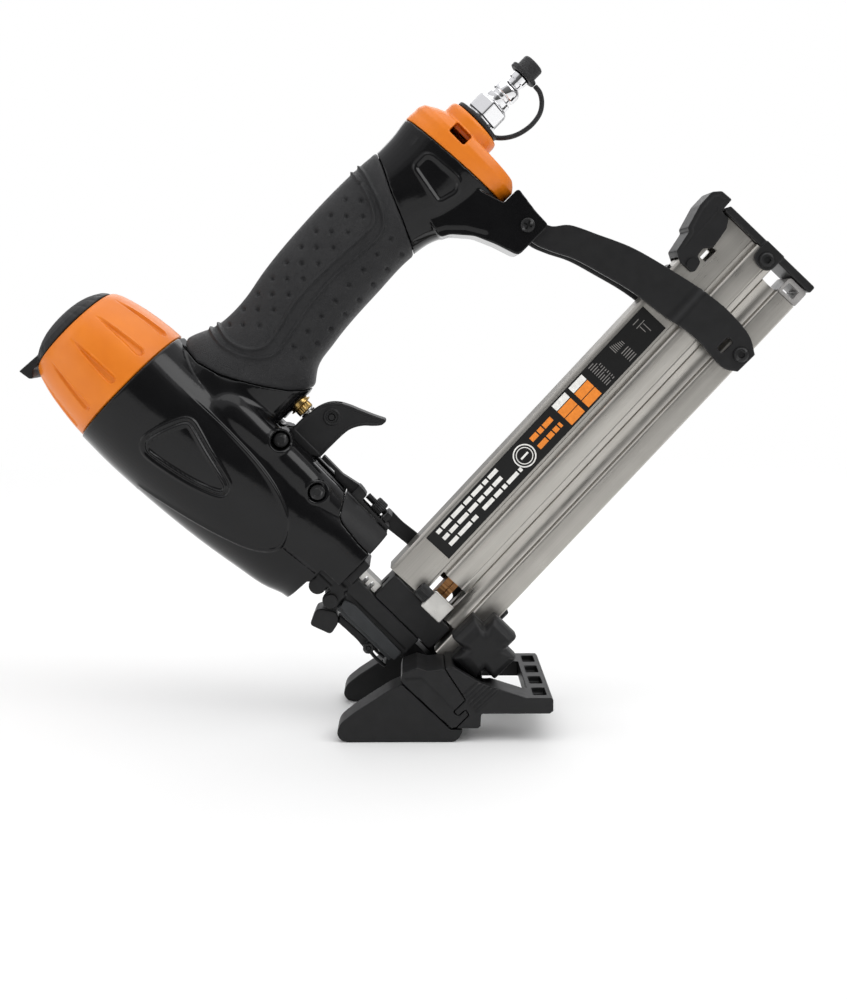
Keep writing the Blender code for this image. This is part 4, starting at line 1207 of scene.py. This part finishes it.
STRAP_STATIONS = [
    (0, 193.4, 127.2, 202.2, 127.2, 11.5),
    (1, 193.0, 112.0, 203.0, 112.0, 11.5),
    (2, 196.0, 103.0, 210.0, 105.0, 11.5),
    (3, 201.0, 93.0, 216.0, 93.0, 11.5),
    (4, 205.0, 80.0, 222.0, 80.0, 11.5),
    (5, 209.0, 65.0, 226.0, 67.0, 11.5),
    (6, 211.8, 46.5, 230.8, 47.5, 11.5),
    (7, 213.0, 41.0, 231.6, 42.0, 13.9),
    (8, 214.5, 30.0, 233.0, 30.0, 13.9),
    (9, 214.0, 14.0, 232.2, 16.0, 13.9),
    (10, 217.5, 7.4, 228.0, 7.4, 13.9),
]


def rear_strap(side):
    """Flat steel bar with a joggle over the magazine rail."""
    rings = []
    for row in smooth_rows(STRAP_STATIONS, 0.2):
        _, left_a, left_b, right_a, right_b, _ = row
        y = np.interp(row[0], [0, 6, 7, 10], [11.5, 11.5, 13.9, 13.9])
        steps = [k / 8 for k in range(9)]
        edge = [(left_a + (right_a - left_a) * t, left_b + (right_b - left_b) * t) for t in steps]
        ring = [(a, side * (y - 1.3), b) for a, b in edge]
        ring += [(a, side * (y + 1.3), b) for a, b in reversed(edge)]
        rings.append(ring)
    strap = loft(rings)
    cut(
        strap,
        rod(STRAP_SCREW, 2.3, -20, 20),
        rod(FOOT_SCREW, 2.1, -20, 20),
        prism(rounded([(218, 18), (225, 18), (225, 21.5), (218, 21.5)], 1.2), -20, 20),
    )
    return fused(strap, 0.4, 4)


# ---------------------------------------------------------------- label

def tiles(boxes, y_low, y_high):
    """Thin raised rectangles: each is (s, m, length, height)."""
    bm = bmesh.new()
    for s, m, length, height in boxes:
        corners = []
        for y in (y_low, y_high):
            for ds, dm in ((0, 0), (1, 0), (1, 1), (0, 1)):
                corners.append(bm.verts.new((s + ds * length, y, m + dm * height)))
        for quad in ((0, 1, 2, 3), (4, 5, 6, 7), (0, 1, 5, 4), (1, 2, 6, 5), (2, 3, 7, 6), (3, 0, 4, 7)):
            bm.faces.new([corners[k] for k in quad])
    return solid(bm)


def dashes(s0, s1, m, height, widths, gap=0.9):
    """A row of short bars of uneven length."""
    out = []
    s = s0
    k = 0
    while s < s1 - 0.6:
        length = min(widths[k % len(widths)], s1 - s)
        out.append((s, m, length, height))
        s += length + gap
        k += 1
    return out


LABEL_START = 25.0
LABEL_MIDDLE = 43.6
LABEL_BACK = -9.66
LABEL_FACE = -9.76


def on_label(rows):
    """Moves label sketches, measured from its lower end and its middle line, to the magazine."""
    return [(LABEL_START + s, LABEL_MIDDLE + m, w, h) for s, m, w, h in rows]


def label_whites():
    rows = dashes(5, 45, 3.9, 1.9, (2.6, 5.4, 7.2, 4.2, 6.3)) + dashes(5, 43, 0.0, 1.9, (3.4, 4.6, 6.1, 5.2))
    rows += dashes(5, 23, -3.9, 1.9, (5.2, 7.8)) + dashes(27, 52, -3.9, 1.9, (6.6, 4.4, 2.2))
    rows += [(81.2, 3.1, 8.4, 3.2), (92.0, 3.1, 8.4, 3.2)]
    return on_label(rows)


def label_oranges():
    rows = dashes(64, 78.5, 1.4, 2.4, (4.0, 2.7, 5.2), 0.7)
    rows += dashes(64, 78.5, -3.4, 2.4, (5.2, 3.2, 2.6), 0.7)
    rows += [(s, m, 8.4, 4.2) for s in (81.2, 92.0) for m in (-1.5, -6.1)]
    return on_label(rows)


def label_greys():
    rows = [(104.4, m, 3.0 + 0.6 * (k % 3), 0.35) for k, m in enumerate(np.arange(-5.2, 5.6, 1.2))]
    rows += [(108.4 + 0.25 * (k % 2), m, 1.2, 0.35) for k, m in enumerate(np.arange(-5.2, 3.6, 1.2))]
    rows += [(117.5 + 0.9 * k, 1.6, 0.3, 4.0 - 0.35 * k) for k in range(7)]
    rows += [(119, m, 4.5, 0.35) for m in np.arange(-5.4, 0.6, 1.2)]
    rows += [(131.5, 2.2, 5.0, 0.3), (131.5, 4.4, 3.6, 0.3), (133, -1.6, 0.3, 3.4), (135, -3.0, 0.3, 4.6)]
    return on_label(rows)


def label_ring():
    """Two plain rings around a short bar."""
    def ring_profile(inner, outer):
        return [(inner, LABEL_FACE), (outer, LABEL_FACE), (outer, LABEL_BACK), (inner, LABEL_BACK)]

    centre = (LABEL_START + 57.0, LABEL_MIDDLE)
    made = turned(ring_profile(4.7, 5.3), centre, "y", 64, ring=True)
    joined(made, turned(ring_profile(3.5, 3.9), centre, "y", 64, ring=True))
    a, b = centre
    return joined(made, box(a - 2.2, a + 2.2, LABEL_FACE, LABEL_BACK, b - 0.45, b + 0.45))


# ---------------------------------------------------------------- base

def knob_arms(radius, height, angle):
    """Cross of two thick rounded bars."""
    phi = (angle % (math.pi / 2)) - math.pi / 4
    reach = min(13.5 / math.cos(phi), 6.9 / max(0.01, abs(math.sin(phi))))
    return radius * reach / 14.2


def clamp_knob(side):
    head = turned([
        (12.0, side * 19.5), (14.2, side * 21.2), (14.2, side * 29.5), (13.4, side * 32.8),
        (11.0, side * 35.2), (7.0, side * 36.5),
    ], KNOB_AXIS, "y", 200, shape=knob_arms)
    joined(head, rod(KNOB_AXIS, 2.9, *span(side, 12.6, 21)))
    return fused(head, 0.42, 12)


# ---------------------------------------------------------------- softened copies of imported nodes

def softened(node, matrix, voxel=0.5, rounds=3):
    """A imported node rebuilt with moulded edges, in millimetres of the given frame."""
    mesh = frame["nodes"][node].data.copy()
    mesh.transform(Matrix.Scale(1 / MM, 4) @ matrix.inverted())
    made = bpy.data.objects.new(node + "_soft", mesh)
    bpy.context.collection.objects.link(made)
    return fused(made, voxel, rounds)


def side_relief(made, amount_at):
    """Cuts or raises lines on the two outer sides of a skin."""
    points, normals = read_skin(made)
    a, y, b = points.T
    outward = side_facing(normals, y)
    return raise_skin(made, amount_at(a, y, b) * outward)


def floor_plate():
    made = softened("floor_plate", LEVEL)

    def grooves(a, y, b):
        amount = np.zeros(len(a))
        for k in range(6):
            start = (27.0 + 1.25 * k, 20.6 - 1.25 * k)
            amount -= 0.8 * ridge(distance_to([start, (start[0] + 9.0, start[1] + 8.2)], a, b), 0.5)
        return amount * (np.abs(y) > 40)

    return side_relief(made, grooves)


def base_block():
    made = softened("base_block", LEVEL)

    def lines(a, y, b):
        seam = distance_to([(2.5, 28.6), (9.5, 28.8), (17.5, 21.0), (24.5, 13.6)], a, b)
        return -0.35 * ridge(seam, 0.45) * (np.abs(y) > 40)

    return side_relief(made, lines)


def nose_body():
    made = softened("nose_body", TOOL, 0.42)

    def lines(a, y, b):
        return -0.5 * ridge(distance_to([(25.2, 60), (25.2, 22)], a, b), 0.45) - 0.4 * ridge(
            distance_to([(23.5, 74.5), (23.5, 67)], a, b), 0.4)

    return side_relief(made, lines)


# ---------------------------------------------------------------- magazine extrusions

def mirrored(half):
    return half + [(-y, m) for y, m in reversed(half)]


def magazine_rail():
    """Fixed track: a foot with rounded flanges, a hollow-cheeked web and an open channel."""
    foot = rounded([(0, 2), (12, 2, 0.6), (12, 12.5, 1.4), (8.6, 13.0, 0.4), (0, 13)], 0.05, 4)[1:-1]
    web = [(9.2, 12.6), (8.3, 13.8), (7.8, 15.4), (7.7, 16.8), (8.1, 18.6), (8.5, 19.6), (8.3, 20.0)]
    made = joined(
        loft([[(s, y, m) for y, m in mirrored(foot)] for s in (-10, 210)]),
        loft([[(s, y, m) for y, m in mirrored([(9.2, 11.6)] + web)] for s in (3, 210)]),
    )
    cut(made, box(-20, 215, -3.2, 3.2, 8, 25))
    ct, st = math.cos(MAG_TILT), math.sin(MAG_TILT)
    da, db = FOOT_SCREW[0] - MAG_START, FOOT_SCREW[1]
    hole = (da * ct + db * st, db * ct - da * st)
    cut(made, rod(hole, 2.1, -20, -6), rod(hole, 2.1, 6, 20))
    return made


def magazine_cover():
    """Sliding extrusion: a slanted lip, a flat face, a round bead, a groove and the upper box."""
    half = [(5.2, 20.5), (10.6, 20.5), (11.0, 20.8), (11.5, 22.9), (11.25, 23.2), (11.25, 23.6), (11.5, 23.9)]
    half += [(11.5, 30.9), (11.35, 31.8), (10.9, 32.5), (10.2, 32.95), (8.5, 33.1), (8.2, 33.4),
             (8.2, 34.9), (8.4, 35.3)]
    half += [(9.0, 35.5), (9.0, 51.2), (8.85, 51.9), (8.2, 53.0)]
    inner = [(5.2, 36), (6.2, 37), (6.2, 50.3)]
    section = mirrored(half) + [(-y, m) for y, m in inner] + [(y, m) for y, m in reversed(inner)]
    made = loft([[(s, y, m) for y, m in section] for s in (4.0, 218.7)])
    return cut(
        made,
        box(-5, 19, -20, 20, 15, 34.2),
        box(198, 205, -20, 20, 43.6, 47),
        rod(MAG_LATCH_PIVOT, 1.8, -20, 20),
        rod(END_SCREW, 1.9, -20, 20),
    )


def trigger_valve_body():
    """Brass sleeve with a knurled collar under the handle."""
    def knurl(radius, height, angle):
        return radius - (0.3 * (0.5 + 0.5 * math.cos(20 * angle)) if height < 132 and radius > 3.5 else 0)

    return turned([
        (2.3, 132.8), (3.0, 132.6), (3.0, 129.4), (3.7, 129.4), (3.9, 129.7), (3.9, 131.9), (3.7, 132.2),
        (5.2, 132.6), (5.4, 132.8), (5.4, 133.2), (4.6, 133.4), (5.1, 151.5), (2.3, 151.5),
    ], (VALVE_A, 0), "b", 160, ring=True, shape=knurl)


# ---------------------------------------------------------------- assembly

def part(made, node, matrix, body, look=None, sharp=35):
    """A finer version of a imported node, riding on the same body."""
    slot = SLOT_OF[node]
    return place(made, node + "_fine", matrix, look or LOOKS[slot], body, (node,), slot, sharp)


def own(make, matrix, body="root", look=None, sharp=35):
    """The same, for a maker that has the node's own name."""
    return part(make(), make.__name__, matrix, body, look, sharp)


SIDES = ((-1, "left"), (1, "right"))
SOFTENED = [
    ("left_shoe", 0.5, "root"),
    ("right_shoe", 0.5, "root"),
    ("front_block", 0.45, "root"),
    ("clamp_block", 0.3, "root"),
    ("end_block", 0.3, "magazine"),
    ("latch_leaf_spring", 0.25, "magazine"),
]
charcoal = moulded_black("charcoal_casting", (0.034, 0.036, 0.038), (0.42, 0.56), 0)
own(main_housing, TOOL, sharp=0)
own(lower_guard, TOOL, sharp=0)
own(handle_grip, TOOL, sharp=0)
own(rear_cap, TOOL, sharp=0)
own(air_plug, TOOL)
own(dust_cap, TOOL, "dust_cap")
own(dust_cap_strap, TOOL, sharp=0)
own(top_cap, TOOL)
own(exhaust_deflector, TOOL, "deflector", PLAIN["matte_black"], sharp=0)
own(deflector_screw, TOOL)
own(trigger, TOOL, "trigger", PLAIN["matte_black"], sharp=0)
part(headed_pin(TRIGGER_PIVOT, PIVOT_HEAD), "trigger_pivot_pin", TOOL, "root")
part(headed_pin(GUIDE_PIN, GUIDE_HEAD), "guide_pin", TOOL, "root")
part(spring((VALVE_A, 0), 127.6, 132.3, 3.1, 0.45, 3), "trigger_valve_spring", TOOL, "root",
     LOOKS["bright_steel"])
part(spring((AXIS, 0), 214.3, 222.9, 14, 0.9, 2.5), "head_valve_spring", TOOL, "root")
own(trigger_valve_body, TOOL)
own(upper_safety_arm, TOOL, "safety", PLAIN["black_steel"])
own(depth_wheel, TOOL, "depth_wheel")
own(lower_safety_arm, TOOL, "safety", PLAIN["black_steel"])
own(nose_door, TOOL, "door", charcoal, sharp=0)
own(latch_lever, TOOL, "latch_lever", PLAIN["black_steel"], sharp=0)
own(latch_wire, TOOL, "latch_wire")
own(clamp_screw, TOOL)
own(magazine_latch, MAG, "magazine_latch", sharp=0)
own(end_plate, MAG, "magazine", sharp=0)
for side, hand in SIDES:
    part(button_screw(END_SCREW, side, 1.6, 14.1, 15.9, 3.3), "end_screw_" + hand, MAG, "magazine")
for side, hand in SIDES:
    part(rear_strap(side), "rear_bracket_" + hand, TOOL, "root", sharp=0)
own(bracket_upper_screw, TOOL)
for side, hand in SIDES:
    part(button_screw(FOOT_SCREW, side, 1.8, 15.5, 17.2), "bracket_lower_screw_" + hand, TOOL, "root")
own(magazine_rail, MAG, sharp=40)
own(magazine_cover, MAG, "magazine", sharp=40)
own(nose_body, TOOL, sharp=0)
own(base_block, LEVEL, sharp=0)
own(floor_plate, LEVEL, sharp=0)
for name, voxel, body in SOFTENED:
    part(softened(name, LEVEL, voxel), name, LEVEL, body, sharp=0)
for side, hand in SIDES:
    part(clamp_knob(side), hand + "_knob", LEVEL, hand + "_knob", sharp=0)

white = printed("label_white", (0.80, 0.79, 0.76))
PRINTS = [
    ("label_white_marks", label_whites, white),
    ("label_orange_marks", label_oranges, printed("label_orange", (0.80, 0.24, 0.03))),
    ("label_grey_marks", label_greys, printed("label_grey", (0.22, 0.21, 0.20))),
]
for name, rows, ink in PRINTS:
    place(tiles(rows(), LABEL_FACE, LABEL_BACK), name, MAG, ink, "magazine", slot="label")
place(label_ring(), "label_ring", MAG, white, "magazine", slot="label")


def finish_node(name, bevel=0.35, segments=3):
    """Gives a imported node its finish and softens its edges."""
    node = frame["nodes"][name]
    node.data.materials.clear()
    look = "black_steel" if name == "trigger_rocker" else SLOT_OF[name]
    node.data.materials.append(PLAIN.get(look, LOOKS[look]))
    if bevel:
        edge = node.modifiers.new("edge", "BEVEL")
        edge.width = bevel * MM
        edge.segments = segments
        edge.limit_method = "ANGLE"
        edge.angle_limit = math.radians(35)
    node.data.shade_smooth()
    node.data.set_sharp_from_angle(angle=math.radians(35))


BEVELS = {"rating_label": 0.1, "guide_plate": 0.2, "fastener_stick": 0.1, "clamp_block": 0.5,
          "piston_ring": 0.1}
replaced = {piece.name.removesuffix("_fine") for piece in bpy.data.objects if piece.name.endswith("_fine")}
for name in frame["nodes"]:
    if name not in replaced:
        finish_node(name, BEVELS.get(name, 0.35))


# ---------------------------------------------------------------- stage, lights, camera

WHITE = 1.0
FLOOR_FADE = (0.45, 1.2)


def make_floor():
    """Pale floor whose far part glows as bright as the backdrop, so that no horizon shows."""
    bm = bmesh.new()
    bmesh.ops.create_grid(bm, x_segments=2, y_segments=2, size=8.0)
    mesh = bpy.data.meshes.new("floor")
    bm.to_mesh(mesh)
    bm.free()
    floor = bpy.data.objects.new("floor", mesh)
    bpy.context.collection.objects.link(floor)
    floor.location.z = -0.0002
    s = Shader("pale_floor", (0.90, 0.90, 0.90), 0.6, Specular_IOR_Level=0.25)
    s.roughness(s.range(s.noise(4, 3), 0.55, 0.68))
    glow = s.node("ShaderNodeEmission", Strength=WHITE)
    blend = s.node("ShaderNodeMixShader")
    reach = s.tree.nodes.new("ShaderNodeVectorMath")
    reach.operation = "LENGTH"
    s.link(s.coordinates.outputs["Object"], reach.inputs[0])
    s.link(s.range(reach.outputs["Value"], 0.0, 1.0, *FLOOR_FADE), blend.inputs[0])
    s.link(s.bsdf.outputs[0], blend.inputs[1])
    s.link(glow.outputs[0], blend.inputs[2])
    s.link(blend.outputs[0], s.tree.nodes["Material Output"].inputs["Surface"])
    floor.data.materials.append(s.material)


def make_world():
    """Soft studio surroundings: even for matte surfaces, with a dim opening by the camera for glossy ones."""
    world = bpy.data.worlds.new("studio")
    bpy.context.scene.world = world
    world.use_nodes = True
    tree = world.node_tree
    background = tree.nodes["Background"]
    coordinates = tree.nodes.new("ShaderNodeTexCoord")
    patch = tree.nodes.new("ShaderNodeVectorMath")
    patch.operation = "DOT_PRODUCT"
    lean = math.radians(12)
    sideways = math.sin(lean) * math.sqrt(0.5)
    patch.inputs[1].default_value = (sideways, -math.cos(lean), sideways)
    tree.links.new(coordinates.outputs["Generated"], patch.inputs[0])
    ramp = tree.nodes.new("ShaderNodeValToRGB")
    points = ramp.color_ramp.elements
    points[0].position = 0.76
    points[0].color = (0.27, 0.27, 0.275, 1)
    points[1].position = 0.86
    points[1].color = (0.08, 0.08, 0.08, 1)
    tree.links.new(patch.outputs["Value"], ramp.inputs["Fac"])
    seen = tree.nodes.new("ShaderNodeLightPath")
    upward = tree.nodes.new("ShaderNodeSeparateXYZ")
    tree.links.new(coordinates.outputs["Generated"], upward.inputs[0])
    rise = tree.nodes.new("ShaderNodeMapRange")
    for socket, value in (("From Min", 0.0), ("From Max", 0.85), ("To Min", 0.8), ("To Max", 3.6)):
        rise.inputs[socket].default_value = value
    tree.links.new(upward.outputs["Z"], rise.inputs["Value"])
    glossy = tree.nodes.new("ShaderNodeVectorMath")
    glossy.operation = "SCALE"
    tree.links.new(ramp.outputs["Color"], glossy.inputs[0])
    tree.links.new(rise.outputs["Result"], glossy.inputs["Scale"])

    def choose(flag, other, value):
        mix = tree.nodes.new("ShaderNodeMix")
        mix.data_type = "RGBA"
        tree.links.new(seen.outputs[flag], mix.inputs[0])
        tree.links.new(other, mix.inputs[6])
        mix.inputs[7].default_value = (value, value, value, 1)
        return mix.outputs[2]

    matte = choose("Is Diffuse Ray", glossy.outputs["Vector"], 0.72)
    tree.links.new(choose("Is Camera Ray", matte, WHITE), background.inputs["Color"])
    background.inputs["Strength"].default_value = 1.0


def area_light(name, location, target, size, power):
    light = bpy.data.lights.new(name, "AREA")
    light.shape = "RECTANGLE"
    light.size, light.size_y = size
    light.energy = power
    lamp = bpy.data.objects.new(name, light)
    bpy.context.collection.objects.link(lamp)
    lamp.location = location
    lamp.rotation_euler = (Vector(target) - Vector(location)).to_track_quat("-Z", "Y").to_euler()


def make_camera():
    camera = bpy.data.cameras.new("camera")
    camera.sensor_fit = "AUTO"
    camera.sensor_width = 36.0
    camera.lens = 52.81
    holder = bpy.data.objects.new("camera", camera)
    bpy.context.collection.objects.link(holder)
    holder.location = Vector((0.0045, -0.660, 0.186)) + ORIGIN
    holder.rotation_euler = (math.radians(90 - 7.38), 0.0, math.radians(-0.53))
    bpy.context.scene.camera = holder


make_floor()
make_world()
middle = (cad_low + cad_high) / 2
area_light("softbox_right", (0.95, -0.55, 1.0), middle, (0.8, 0.8), 6.0)
area_light("softbox_top", (0.0, -0.1, 1.7), middle, (1.6, 1.6), 9.0)
area_light("softbox_left", (-1.2, -0.6, 0.5), middle, (0.9, 1.2), 3.5)
area_light("softbox_back", (0.1, 1.2, 0.9), middle, (1.2, 0.8), 4.0)
make_camera()
bpy.context.scene.view_settings.view_transform = "Standard"
